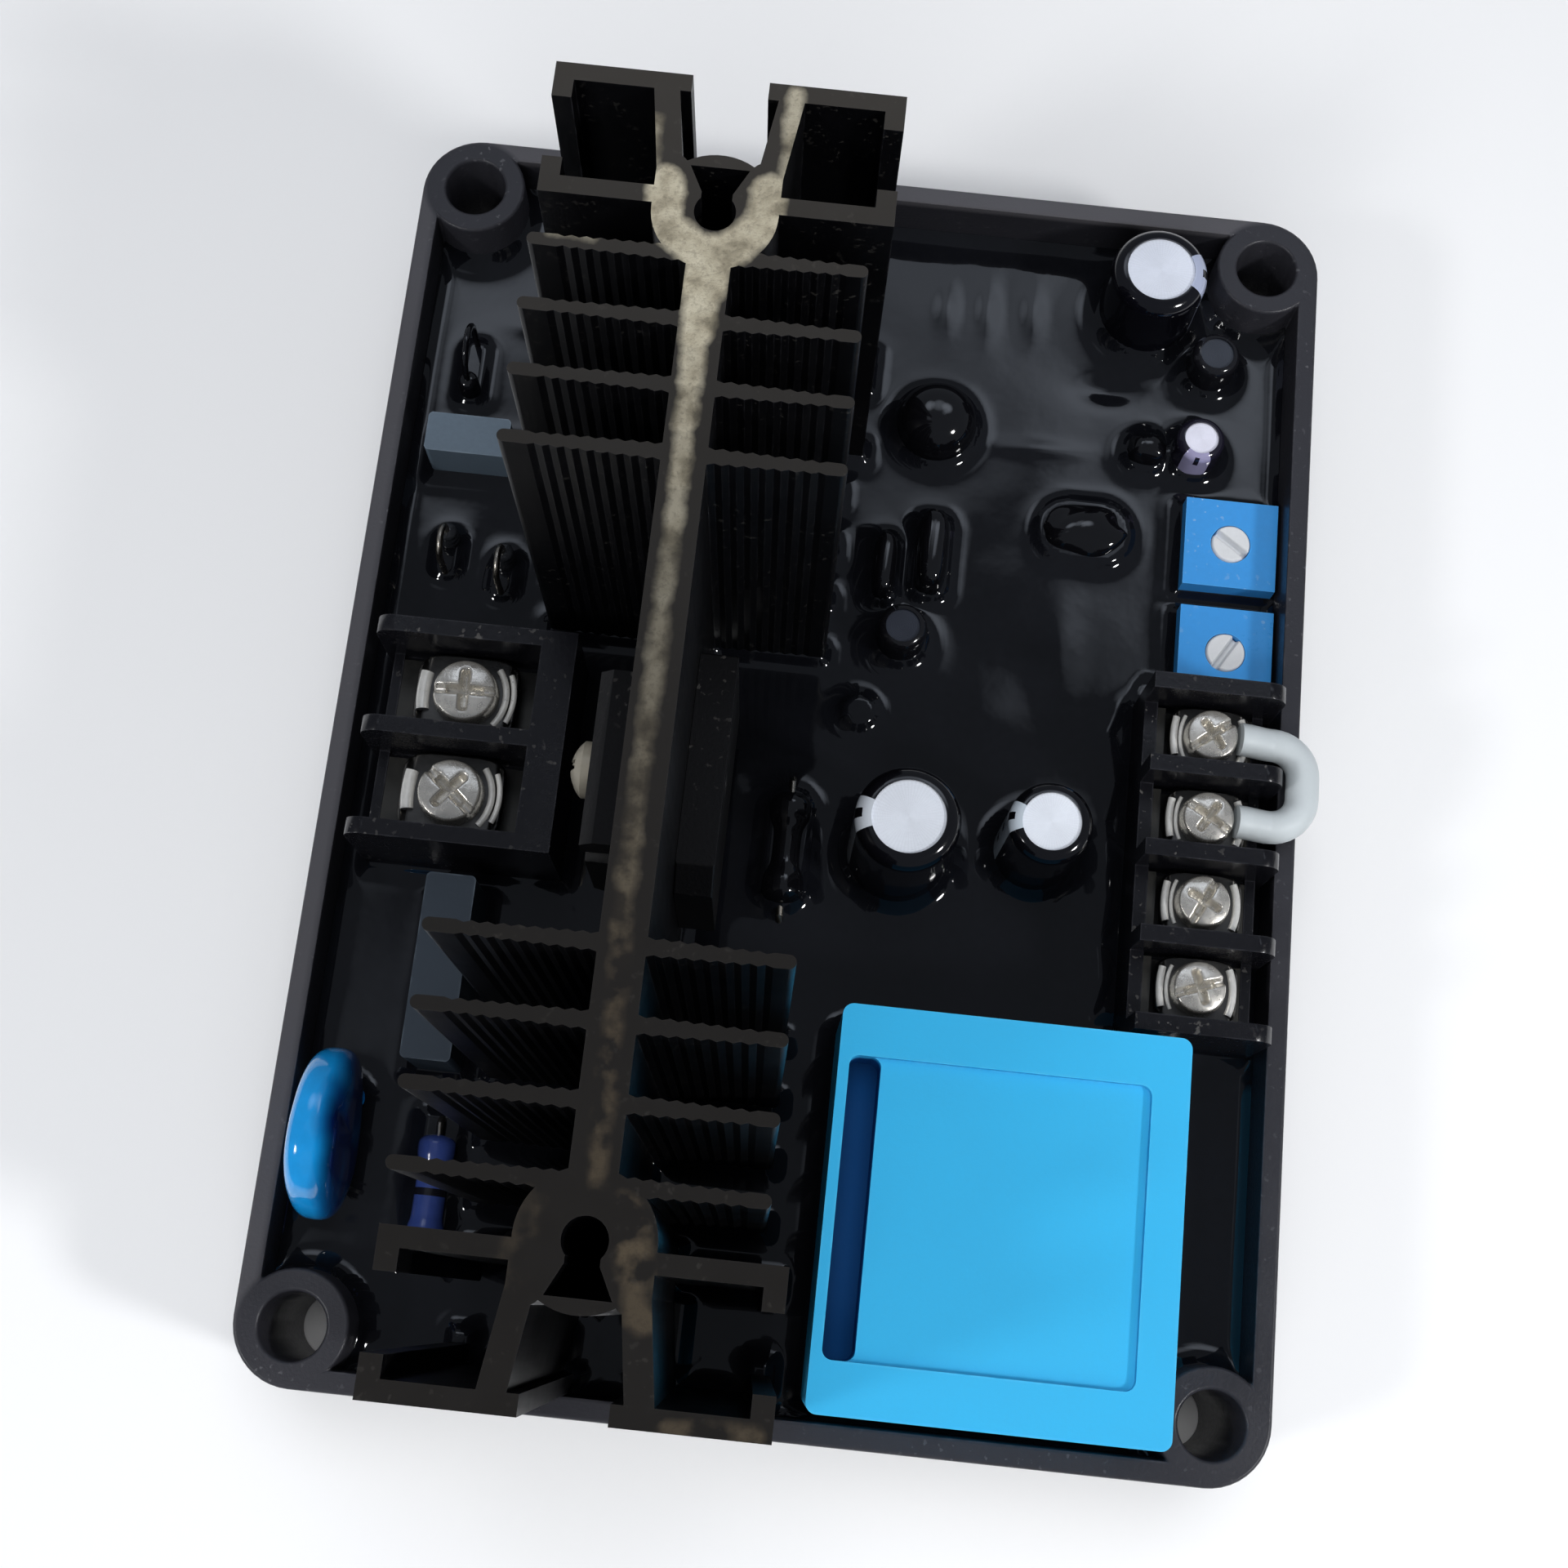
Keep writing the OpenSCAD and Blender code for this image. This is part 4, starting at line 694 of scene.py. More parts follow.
# The same for nodes with a box plan, with its corner radius
boxMenisci = {
    "small_block_body": (1.0, 0.6, 0), "large_block_body": (1.0, 0.6, 0), "trimmer_body_1": (1.0, 0.6, 0),
    "trimmer_body_2": (1.0, 0.6, 0), "transformer": (1.2, 0.7, 1.0), "film_capacitor": (1.2, 0.6, 0),
    "box_capacitor": (1.0, 0.6, 0), "power_resistor": (0.6, 0.6, 0), "plate_capacitor": (1.1, 0.5, 1.2),
    "thin_capacitor": (1.1, 0.5, 1.2), "disc_capacitor": (0.8, 0.5, 3.2), "upright_diode": (0.7, 0.5, 1.0),
    "upright_resistor_1": (0.7, 0.5, 1.0), "upright_resistor_2": (0.7, 0.5, 1.0),
}
# The same for round nodes, whose radius is that of the node named last
roundMenisci = {
    "tall_can": (1.5, 0.8, "tall_can_sleeve"), "medium_can": (1.5, 0.8, "medium_can_sleeve"),
    "corner_can": (1.5, 0.8, "corner_can_sleeve"), "pale_can": (1.2, 0.7, "pale_can_sleeve"),
    "grey_can": (1.2, 0.7, "grey_can_sleeve"), "low_can": (1.2, 0.7, "low_can_sleeve"),
    "drop_capacitor": (1.1, 0.55, "drop_capacitor"), "small_bead": (0.9, 0.55, "small_bead"),
    "small_transistor": (1.1, 0.55, "small_transistor"),
}
# The same for lying parts, with the half sizes and corner radius of the plan that the potting follows
lyingMenisci = {"axial_diode": (1.2, 0.7, 2.0, 5.9, 1.9), "varistor": (1.0, 0.7, 1.8, 5.5, 1.5)}

# The wavy edge of a raised film beside the four-way block: places along Y and X
filmEdge = [(13.9, 32.7), (7.4, 30.1), (2.4, 31.3), (-2.0, 30.3), (-9.5, 31.6), (-14.5, 30.7), (-17.8, 31.3),
            (-22.0, 30.0)]
# The film: ends along Y, length of its ends' slope, height, and height and width of its lip
filmLook = {"ends": (-22.5, 14.5), "slope": 1.5, "height": 0.45, "lip": 0.22, "lipWidth": 0.45,
            "sharpness": 0.28, "stop": 34}
# Low humps over parts that lie just under the surface: x, y, spread x, spread y, height
humps = [(9.0, 53.3, 1.15, 2.9, 0.13), (13.4, 53.5, 1.15, 3.0, 0.15), (18.3, 53.6, 1.2, 3.0, 0.14),
         (26.9, 45.4, 2.9, 1.5, -0.2), (20.0, 38.0, 5.0, 1.0, 0.1), (-33.0, 46.0, 4.0, 1.2, 0.15),
         (17.5, 8.0, 5.0, 4.0, 0.12), (24.0, 15.0, 2.0, 6.0, 0.1)]
# The sheet of potting: its step, its gap to the tray's wall, the post holes in it and its highest point
sheetLook = {"step": 0.36, "quickStep": 0.8, "gap": 0.04, "postHole": 4.5, "overlap": 0.2, "highest": 16.4,
             "swell": 0.05}
posts = [(sx * tray["post"][0], sy * tray["post"][1]) for sx in (-1, 1) for sy in (-1, 1)]


def wallGap(x, y):
    return boxGap(x, y, 0, 0, tray["cavity"][0], tray["cavity"][1], tray["corner"])


def meniscusRise(gx, gy):
    rise = np.zeros_like(gx)

    def climb(gap, height, reach):
        nonlocal rise
        rise = np.maximum(rise, height * np.exp(-np.maximum(gap, 0) / reach))

    climb(-wallGap(gx, gy), *menisci["wall"])
    for x, y in posts:
        climb(circleGap(gx, gy, x, y, tray["postRadius"]), *menisci["post"])
    for x, y, hx, hy in sinkBars:
        climb(boxGap(gx, gy, sinkMiddle[0] + x, sinkMiddle[1] + y, hx, hy), *menisci["sink"])
    for node, (height, reach, corner) in boxMenisci.items():
        (x, y, _), (hx, hy, _) = middleMm(node), halfMm(node)
        climb(boxGap(gx, gy, x, y, hx, hy, corner), height, reach)
    for node, (height, reach, outer) in roundMenisci.items():
        x, y, _ = middleMm(node)
        climb(circleGap(gx, gy, x, y, halfMm(outer)[0]), height, reach)
    for node, (height, reach, hx, hy, corner) in lyingMenisci.items():
        x, y, _ = middleMm(node)
        climb(boxGap(gx, gy, x, y, hx, hy, corner), height, reach)
    return rise


def filmRise(gx, gy):
    alongY = np.array([p[0] for p in filmEdge][::-1])
    edge = np.interp(gy, alongY, np.array([p[1] for p in filmEdge][::-1]))
    start, end = filmLook["ends"]
    inRange = np.clip((gy - start) / filmLook["slope"], 0, 1) * np.clip((end - gy) / filmLook["slope"], 0, 1)
    past = 1 / (1 + np.exp(-(gx - edge) / filmLook["sharpness"]))
    lip = filmLook["lip"] * np.exp(-((gx - edge) / filmLook["lipWidth"]) ** 2)
    return inRange * (filmLook["height"] * past + lip) * (gx < filmLook["stop"])


# Draws the sheet's open edges down to the tray's floor
def closeSheet(piece):
    shape = bmesh.new()
    shape.from_mesh(piece.data)
    bmesh.ops.delete(shape, geom=[v for v in shape.verts if not v.link_faces], context="VERTS")
    grown = bmesh.ops.extrude_edge_only(shape, edges=[e for e in shape.edges if e.is_boundary])
    for item in grown["geom"]:
        if isinstance(item, bmesh.types.BMVert):
            item.co.z = levels["floor"] * mm
    bmesh.ops.recalc_face_normals(shape, faces=shape.faces)
    shape.to_mesh(piece.data)
    shape.free()


def makePottingSurface():
    step = sheetLook["step"]
    halfX, halfY = [half - sheetLook["gap"] for half in tray["cavity"]]
    countX = int(2 * halfX / step) + 1
    countY = int(2 * halfY / step) + 1
    gx, gy = np.meshgrid(np.linspace(-halfX, halfX, countX), np.linspace(-halfY, halfY, countY))
    surface = levels["potting"] + meniscusRise(gx, gy)
    for x, y, sx, sy, height in humps:
        surface += height * np.exp(-((gx - x) / sx) ** 2 - ((gy - y) / sy) ** 2)
    surface += filmRise(gx, gy)
    surface += sheetLook["swell"] * np.sin(gx * 0.31 + 1.7 * np.sin(gy * 0.11)) * np.cos(gy * 0.23 + 0.8)
    surface = np.minimum(surface, sheetLook["highest"])

    verts = [(float(a), float(b), float(c)) for a, b, c in zip(gx.ravel(), gy.ravel(), surface.ravel())]
    keep = wallGap(gx, gy) < sheetLook["overlap"]
    for x, y in posts:
        keep &= circleGap(gx, gy, x, y, sheetLook["postHole"]) > 0
    faces = []
    for j in range(countY - 1):
        for i in range(countX - 1):
            if keep[j, i] and keep[j, i + 1] and keep[j + 1, i] and keep[j + 1, i + 1]:
                a = j * countX + i
                faces.append((a, a + 1, a + countX + 1, a + countX))
    closeSheet(newPiece("potting_surface", verts, faces, pottingGloss, replaced=("potting_compound",),
                        slotName="potting", degrees=80))


makePottingSurface()
print("potting made")


# Revolves (radius, height) points about an axis through place, all in millimetres
def turned(name, profile, place, axis, material, segments=40, **rest):
    verts, rings = [], []
    for radius, height in profile:
        count = 1 if radius <= 1e-6 else segments
        rings.append(range(len(verts), len(verts) + count))
        for k in range(count):
            angle = 2 * math.pi * k / segments
            verts.append(Vector((radius * math.cos(angle), radius * math.sin(angle), height)))
    faces = []
    for low, high in zip(rings, rings[1:]):
        for k in range(segments):
            n = (k + 1) % segments
            if len(low) == 1 and len(high) > 1:
                faces.append((low[0], high[n], high[k]))
            elif len(high) == 1 and len(low) > 1:
                faces.append((low[k], low[n], high[0]))
            elif len(low) > 1:
                faces.append((low[k], low[n], high[n], high[k]))
    turn = Vector((0, 0, 1)).rotation_difference(Vector(axis)).to_matrix()
    verts = [turn @ v + Vector(place) for v in verts]
    return newPiece(name, [tuple(v) for v in verts], faces, material, **rest)


# Profile of a fat, blunt-ended body of that radius and half length
def rounded(radius, half, power, count=18):
    points = []
    for k in range(count + 1):
        angle = math.pi * (k / count - 0.5)
        c, s = math.cos(angle), math.sin(angle)
        points.append((radius * abs(c) ** power, half * math.copysign(abs(s) ** power, s)))
    points[0] = (0.0, -half)
    points[-1] = (0.0, half)
    return points


# Profile of a lying resistor or diode: two beads joined by a slimmer body
def waisted(radius, half, waist, bead, count=40):
    points = [(0.0, -half)]
    for k in range(1, count):
        h = -half + 2 * half * k / count
        end = half - abs(h)
        cap = math.sqrt(max(0.0, 1 - max(0.0, 1 - end / (0.42 * bead)) ** 2))
        blend = 1 / (1 + math.exp((end - bead) / (0.1 * bead)))
        points.append((radius * cap * (waist + (1 - waist) * blend), h))
    points.append((0.0, half))
    return points


# A coated body: a rounded block whose sides swell, with a slightly uneven skin
def pillow(name, place, half, powers, material, wobble=0.0, pole=2, segments=(48, 32), **rest):
    columns, rows = segments
    verts = []

    def spread(value, power):
        return math.copysign(abs(value) ** power, value)

    for j in range(rows + 1):
        polar = math.pi * (j / rows - 0.5)
        for i in range(columns):
            around = 2 * math.pi * i / columns
            swell = 1 - wobble * (0.5 + 0.5 * math.sin(3 * around + 2.3 * polar) * math.cos(2.2 * polar + 1.0))
            point = [0.0, 0.0, 0.0]
            point[pole] = spread(math.sin(polar), powers[1])
            point[(pole + 1) % 3] = spread(math.cos(polar), powers[1]) * spread(math.cos(around), powers[0])
            point[(pole + 2) % 3] = spread(math.cos(polar), powers[1]) * spread(math.sin(around), powers[0])
            verts.append(tuple(place[k] + half[k] * point[k] * swell for k in range(3)))
    weldPiece(newPiece(name, verts, ringFaces(rows, columns), material, **rest))


# A bent lead along points, in millimetres
def wire(name, points, radius, material, rings=12, **rest):
    verts = []
    path = [Vector(p) for p in points]
    side = Vector((0.37, 0.61, 0.21)).normalized()
    for k, point in enumerate(path):
        ahead = path[min(k + 1, len(path) - 1)] - path[max(k - 1, 0)]
        ahead.normalize()
        right = ahead.cross(side).normalized()
        up = right.cross(ahead).normalized()
        for i in range(rings):
            angle = 2 * math.pi * i / rings
            verts.append(tuple(point + radius * (math.cos(angle) * right + math.sin(angle) * up)))
    last = (len(path) - 1) * rings
    faces = ringFaces(len(path) - 1, rings)
    faces += [tuple(reversed(range(rings))), tuple(range(last, last + rings))]
    return newPiece(name, verts, faces, material, **rest)


# Points on an arc in the plane of two unit directions, in degrees
def arcPoints(centre, radius, start, end, plane, count=14):
    u, v = Vector(plane[0]), Vector(plane[1])
    points = []
    for k in range(count + 1):
        angle = math.radians(start + (end - start) * k / count)
        points.append(tuple(Vector(centre) + radius * (math.cos(angle) * u + math.sin(angle) * v)))
    return points


flatPlane = ((1, 0, 0), (0, 1, 0))
upright = (0, 0, 1)

# The bead: radius, half height, bluntness and height of its middle over the board
beadLook = {"radius": 1.5, "half": 1.45, "power": 0.85, "rise": 1.4}
# Lying parts: radius, half length, waist and bead, height of the axis over the board, half span of the leads
lyingLooks = {
    "axial_diode": {"radius": 2.1, "half": 5.8, "waist": 0.68, "bead": 3.4, "axis": 2.84, "leadAt": 5.6,
                    "material": epoxyGloss, "slot": "epoxy_gloss"},
    "power_resistor": {"radius": 1.8, "half": 5.4, "waist": 0.84, "bead": 2.4, "axis": 3.44, "leadAt": 5.2,
                       "material": resistorLacquer, "slot": "resistor_blue"},
}
# Their leads: radius, straight stretch, bend and end, all from the body's end, and the bend's drop
leadLook = {"radius": 0.35, "straight": 1.2, "bend": 1.6, "end": 1.74, "drop": 0.4, "aboveBoard": 0.1}
# Coated blocks: bluntness round and along the pole, unevenness, and the pole's axis
coatedLooks = {
    "plate_capacitor": ((0.7, 0.55), 0.05, 1), "thin_capacitor": ((0.75, 0.6), 0.06, 1),
    "disc_capacitor": ((0.95, 0.95), 0.18, 0), "small_transistor": ((0.8, 0.7), 0.1, 0),
}
# Upright parts: side of the body, depth of its ribs, material and slot of the body and of the lead
uprightLooks = {
    "upright_diode": (1, 0.0, (epoxyGloss, "epoxy_gloss"), (epoxyGloss, "epoxy_gloss")),
    "upright_resistor_1": (-1, 0.16, (resistorGrey, "resistor_grey"), (tinnedWire, "tinned_wire")),
    "upright_resistor_2": (-1, 0.08, (resistorGrey, "resistor_grey"), (tinnedWire, "tinned_wire")),
}
# Their bodies: half height, radius and level of the foot over the board; their leads: inset and radius
uprightBody = {"half": 1.76, "radius": 1.1, "foot": 2.0, "leadInset": 0.35, "leadRadius": 0.34, "ribs": 7.2}


# The dipped drop, an egg that stands on the board
def makeDrop():
    x, y, _ = middleMm("drop_capacitor")
    radius = halfMm("drop_capacitor")[0]
    top = boxMm("drop_capacitor")[1][2]
    rise = top - levels["board"]
    profile = [(0.0, levels["board"])]
    for t in range(1, 24):
        angle = math.pi * t / 24
        height = levels["board"] + rise * (0.5 - 0.5 * math.cos(angle))
        profile.append((radius * math.sin(angle) ** 0.8, height))
    profile.append((0.0, top))
    turned("drop_capacitor_skin", profile, (x, y, 0), upright, epoxyGloss, replaced=("drop_capacitor",),
           slotName="epoxy_gloss")


def makeBead():
    x, y, _ = middleMm("small_bead")
    middle = levels["board"] + beadLook["rise"]
    profile = rounded(beadLook["radius"], beadLook["half"], beadLook["power"])
    turned("small_bead_skin", [(r, middle + h) for r, h in profile], (x, y, 0), upright, epoxyGloss,
           replaced=("small_bead",), slotName="epoxy_gloss")


def makeLying(node):
    look = lyingLooks[node]
    x, y, _ = middleMm(node)
    z = levels["board"] + look["axis"]
    turned(node + "_skin", waisted(look["radius"], look["half"], look["waist"], look["bead"]), (x, y, z),
           (0, 1, 0), look["material"], replaced=(node,), slotName=look["slot"])
    for side, label in ((-1, "front"), (1, "back")):
        end = y + side * look["leadAt"]
        points = [(x, end, z), (x, end + side * leadLook["straight"], z),
                  (x, end + side * leadLook["bend"], z - leadLook["drop"]),
                  (x, end + side * leadLook["end"], levels["board"] + leadLook["aboveBoard"])]
        wire(node + "_lead_" + label, points, leadLook["radius"], tinnedWire, slotName="tinned_wire")


# A part on end: its body on one side and its lead bent over and down on the other
def makeUpright(node):
    side, ribs, (skin, skinSlot), (metal, metalSlot) = uprightLooks[node]
    low, high = boxMm(node)
    half, radius, inset = uprightBody["half"], uprightBody["radius"], uprightBody["leadInset"]
    x = middleMm(node)[0]
    bodyY = low[1] + radius if side > 0 else high[1] - radius
    farY = high[1] - inset if side > 0 else low[1] + inset
    middle = levels["board"] + uprightBody["foot"] + half
    profile = []
    for k in range(25):
        h = -half + 2 * half * k / 24
        cap = math.sqrt(max(0.0, 1 - abs(h / half) ** 6))
        profile.append((radius * cap * (1 - ribs * (0.5 + 0.5 * math.cos(h * uprightBody["ribs"]))), h))
    profile[0] = (0.0, -half)
    profile[-1] = (0.0, half)
    turned(node + "_body", profile, (x, bodyY, middle), upright, skin, replaced=(node,), slotName=skinSlot,
           segments=28)
    bend = abs(farY - bodyY) / 2
    points = [(x, bodyY, middle + half - 0.2)]
    points += arcPoints((x, (bodyY + farY) / 2, high[2] - inset - bend), bend, 0, 180, ((0, -side, 0), upright))
    points += [(x, farY, levels["board"] + leadLook["aboveBoard"])]
    wire(node + "_lead", points, uprightBody["leadRadius"], metal, slotName=metalSlot)


makeDrop()
makeBead()
for node in lyingLooks:
    makeLying(node)
for node, (powers, wobble, pole) in coatedLooks.items():
    pillow(node + "_skin", middleMm(node), halfMm(node), powers, epoxyGloss, wobble, pole, replaced=(node,),
           slotName="epoxy_gloss")
for node in uprightLooks:
    makeUpright(node)

# The varistor: bluntness of its rim and faces, ripple and dent of its edge, sway, and room for the sway
varistorLook = {"rim": 0.36, "face": 0.7, "ripple": 0.028, "dent": 0.16, "sway": 0.16, "room": 0.2,
                "leadAt": 3.75}
# Coating run down its leads: radius and level over the board
varistorRun = [(0.0, 0.05), (0.42, 0.1), (0.5, 1.6), (0.95, 2.6), (1.3, 4.2), (0.0, 6.5)]


# A dipped disc on edge: flat faces, a fat rim, and coating run down the leads
def makeVaristor():
    x, y, _ = middleMm("varistor")
    thick, radius, _ = halfMm("varistor")
    z = boxMm("varistor")[1][2] - radius
    columns, rows = 72, 22
    verts = []
    for j in range(rows + 1):
        polar = math.pi * (j / rows - 0.5)
        out = math.cos(polar) ** varistorLook["rim"] if 0 < j < rows else 0.0
        across = math.copysign(abs(math.sin(polar)) ** varistorLook["face"], math.sin(polar))
        for i in range(columns):
            around = 2 * math.pi * i / columns
            ripple = 1 - varistorLook["ripple"] * (0.5 + 0.5 * math.sin(5 * around + 0.6)) * out
            dip = math.exp(-((around - 1.25) / 0.16) ** 2)
            dent = 1 - varistorLook["dent"] * dip * out * (0.5 + 0.5 * across)
            sway = varistorLook["sway"] * math.sin(2 * around + 0.8) * out
            r = radius * out * ripple
            verts.append((x + (thick - varistorLook["room"]) * across * dent + sway, y + r * math.cos(around),
                          z + r * math.sin(around)))
    weldPiece(newPiece("varistor_skin", verts, ringFaces(rows, columns), varistorBlue, replaced=("varistor",),
                       slotName="varistor_blue", degrees=80))
    profile = [(radius, levels["board"] + rise) for radius, rise in varistorRun]
    for side, label in ((-1, "front"), (1, "back")):
        place = (x + side * thick / 3, y + side * varistorLook["leadAt"], 0)
        turned("varistor_lead_" + label, profile, place, upright, varistorBlue, slotName="varistor_blue",
               segments=20)


makeVaristor()
print("small parts made")


# How far a place is inside a band, from 0 outside to 1, with a soft edge
def inBand(value, half, edge):
    return 1 / (1 + math.exp((abs(value) - half) / edge))


# Each terminal screw's head: shares of its radius and height for the recess, the slot and the dome
screwLook = {"arm": 0.1, "reach": 0.6, "deep": 0.7, "slot": 0.1, "slotDeep": 0.36, "dome": 0.2}
# Each rotor's head: shares of its radius and height for the slot
rotorLook = {"slot": 0.16, "slotDeep": 0.75, "edge": 0.25}


# Height of a pan head with a cross recess and a slot, at a place on it
def screwHeight(u, v, radius, rise):
    r = math.hypot(u, v) / radius
    dome = screwLook["dome"]
    top = 1 - dome * r ** 2.4 - (1 - dome) * max(0.0, (r - 0.88) / 0.12) ** 3
    depth = screwLook["slotDeep"] * inBand(v, screwLook["slot"] * radius, 0.02 * radius)
    for a, b in ((u, v), (v, u)):
        arm = inBand(b, screwLook["arm"] * radius, 0.022 * radius)
        reach = inBand(a, screwLook["reach"] * radius, 0.03 * radius)
        depth = max(depth, arm * reach * screwLook["deep"] * (1.15 - 0.55 * r))
    return rise * max(top - depth, 0.08)


# Height of a flat rotor with one slot right across
def rotorHeight(u, v, radius, rise):
    edge = rotorLook["edge"] * max(0.0, (math.hypot(u, v) / radius - 0.9) / 0.1) ** 2
    return rise * (1 - edge - rotorLook["slotDeep"] * inBand(v, rotorLook["slot"] * radius, 0.02 * radius))


# A head as a fine polar sheet over a short wall; centre is the middle of its underside
def makeHead(name, centre, radius, rise, turn, height, material, body=board, **rest):
    columns, rows = ((112, 34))
    cosT, sinT = math.cos(math.radians(turn)), math.sin(math.radians(turn))
    verts = [(centre[0], centre[1], centre[2] + height(0, 0, radius, rise))]
    for j in range(1, rows + 2):
        r = radius * min(j, rows) / rows
        for i in range(columns):
            angle = 2 * math.pi * i / columns
            u, v = r * math.cos(angle), r * math.sin(angle)
            h = height(u, v, radius, rise) if j <= rows else 0.0
            verts.append((centre[0] + u * cosT - v * sinT, centre[1] + u * sinT + v * cosT, centre[2] + h))
    faces = []
    for i in range(columns):
        n = (i + 1) % columns
        faces.append((0, 1 + i, 1 + n))
        for j in range(rows):
            a = 1 + j * columns
            faces.append((a + i, a + columns + i, a + columns + n, a + n))
    base = 1 + rows * columns
    faces.append(tuple(reversed(range(base, base + columns))))
    newPiece(name, verts, faces, material, body=body, degrees=50, **rest)


# Clamp plates: thickness, squareness, and depth of the turned edge and of the grooves across, in millimetres
clampLook = {"thick": 0.8, "square": 5.0, "edge": 0.3, "groove": 0.42, "grooveAt": 0.86, "grooveWidth": 0.035}


# A clamp plate with rounded corners, turned edges and a groove beside each end
def makeClamp(name, low, high, hole, replaced):
    cx, cy = (low[0] + high[0]) / 2, (low[1] + high[1]) / 2
    hx, hy = (high[0] - low[0]) / 2, (high[1] - low[1]) / 2
    columns, rows = ((120, 26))
    power = clampLook["square"]
    verts, faces = [], []

    def rise(t, across):
        edge = clampLook["edge"] * max(0.0, (t - 0.92) / 0.08) ** 2
        off = (across - clampLook["grooveAt"]) / clampLook["grooveWidth"]
        return -0.001 - edge - clampLook["groove"] * math.exp(-off ** 2)

    for level in (0, 1):
        for j in range(rows + 1):
            for i in range(columns):
                angle = 2 * math.pi * i / columns
                c, s = math.cos(angle), math.sin(angle)
                reach = 1 / ((abs(c) / hx) ** power + (abs(s) / hy) ** power) ** (1 / power)
                r = hole + (reach - hole) * j / rows
                z = high[2] + (rise(j / rows, abs(r * c) / hx) if level else -clampLook["thick"])
                verts.append((cx + r * c, cy + r * s, z))
    layer = (rows + 1) * columns
    for i in range(columns):
        n = (i + 1) % columns
        for j in range(rows):
            a, b = j * columns, (j + 1) * columns
            faces.append((layer + a + i, layer + b + i, layer + b + n, layer + a + n))
            faces.append((a + n, b + n, b + i, a + i))
        faces.append((i, layer + i, layer + n, n))
        a = rows * columns
        faces.append((a + n, layer + a + n, layer + a + i, a + i))
    # The plate takes the darker copy of the clamp steel, a painted shade
    newPiece(name, verts, faces, clampSteelShade, replaced=replaced, slotName="clamp_steel", degrees=50)


# Terminals of each block: turn of each screw's slot in degrees, half width of a clamp plate, diameters of the
# screw's head and shank, and the bright strips pressed up beside it: distance to the left (-) or right,
# half length, half thickness and bow
terminalLooks = {
    "small": {"turns": [38, -32, 64, 20], "plateHalf": 3.9, "head": 5.2, "shank": 3.0,
              "strips": [(-3.5, 1.9, 0.36, 9.0), (-2.88, 2.1, 0.2, 5.0), (3.4, 2.2, 0.38, 6.0)]},
    "large": {"turns": [-40, 2], "plateHalf": 5.0, "head": 6.4, "shank": 3.5,
              "strips": [(3.85, 2.8, 0.34, 4.6), (4.6, 2.4, 0.28, 6.0), (-4.2, 1.9, 0.66, 12.0)]},
}
# Every terminal screw: its head's height, the shank's length and the chamfer at its end
screwSizes = {"rise": 1.99, "length": 5.2, "chamfer": 0.3}


def makeTerminal(kind, k):
    look = terminalLooks[kind]
    node = "%s_clamp_%d" % (kind, k)
    low, high = boxMm(node)
    x, y, _ = middleMm(node)
    top, wide = high[2], look["plateHalf"]
    makeClamp("%s_plate_%d" % (kind, k), (x - wide, low[1], low[2]), (x + wide, high[1], top),
              look["shank"] * 0.56, (node,))
    for s, (reach, half, thick, bow) in enumerate(look["strips"]):
        side = math.copysign(1, reach)
        swing = math.degrees(math.asin(half / bow))
        points = arcPoints((x + reach - side * bow, y, top - 0.05), bow, -swing, swing,
                           ((side, 0, 0), (0, 1, 0)), 18)
        # The strips take the brighter copy of the clamp steel, a painted highlight
        wire("%s_strip_%d_%d" % (kind, k, s + 1), points, thick, clampSteelHighlight, slotName="clamp_steel")
    makeHead("%s_screw_%d" % (kind, k), (x, y, top + 0.01), look["head"] / 2, screwSizes["rise"],
             look["turns"][k - 1], screwHeight, screwSteel, replaced=("%s_block_screws" % kind,),
             slotName="plated_screw")
    radius, end, chamfer = look["shank"] / 2, top - screwSizes["length"], screwSizes["chamfer"]
    turned("%s_shank_%d" % (kind, k), [(0.0, end), (radius - chamfer, end), (radius, end + chamfer),
                                       (radius, top), (0.0, top + 0.05)],
           (x, y, 0), upright, screwSteel, slotName="plated_screw", segments=24)


for kind, look in terminalLooks.items():
    for k in range(1, len(look["turns"]) + 1):
        makeTerminal(kind, k)

# The link's sleeve: roundness of the U, gap to the screw heads, and how far the arms sink onto the clamps
linkLook = {"round": 0.74, "headGap": 0.12, "sink": 0.8, "thinner": 0.1}


# A U whose arms lie on the clamp plates and reach the screw heads
def makeLink():
    low, high = boxMm("link_insulation")
    _, middleY, z = middleMm("link_insulation")
    thick = high[2] - low[2]
    armY = (high[1] - low[1] - thick) / 2
    corner = linkLook["round"] * armY
    bendX = high[0] - thick / 2 - corner
    startX = boxMm("small_block_screws")[1][0] + linkLook["headGap"]
    lift = boxMm("small_clamp_1")[1][2] + thick / 2 - z - linkLook["sink"]
    arm = []
    for k in range(13):
        t = k / 12
        arm.append((startX + (bendX - startX) * t, z + lift * (1 - t * t * (3 - 2 * t))))
    points = [(x, middleY - armY, up) for x, up in arm]
    points += arcPoints((bendX, middleY - armY + corner, z), corner, -90, 0, flatPlane, 10)[1:]
    points += arcPoints((bendX, middleY + armY - corner, z), corner, 0, 90, flatPlane, 10)
    points += [(x, middleY + armY, up) for x, up in reversed(arm[:-1])]
    wire("link_sleeve", points, thick / 2 - linkLook["thinner"], linkGrey, rings=28,
         replaced=("link_insulation",), slotName="link_grey")


makeLink()

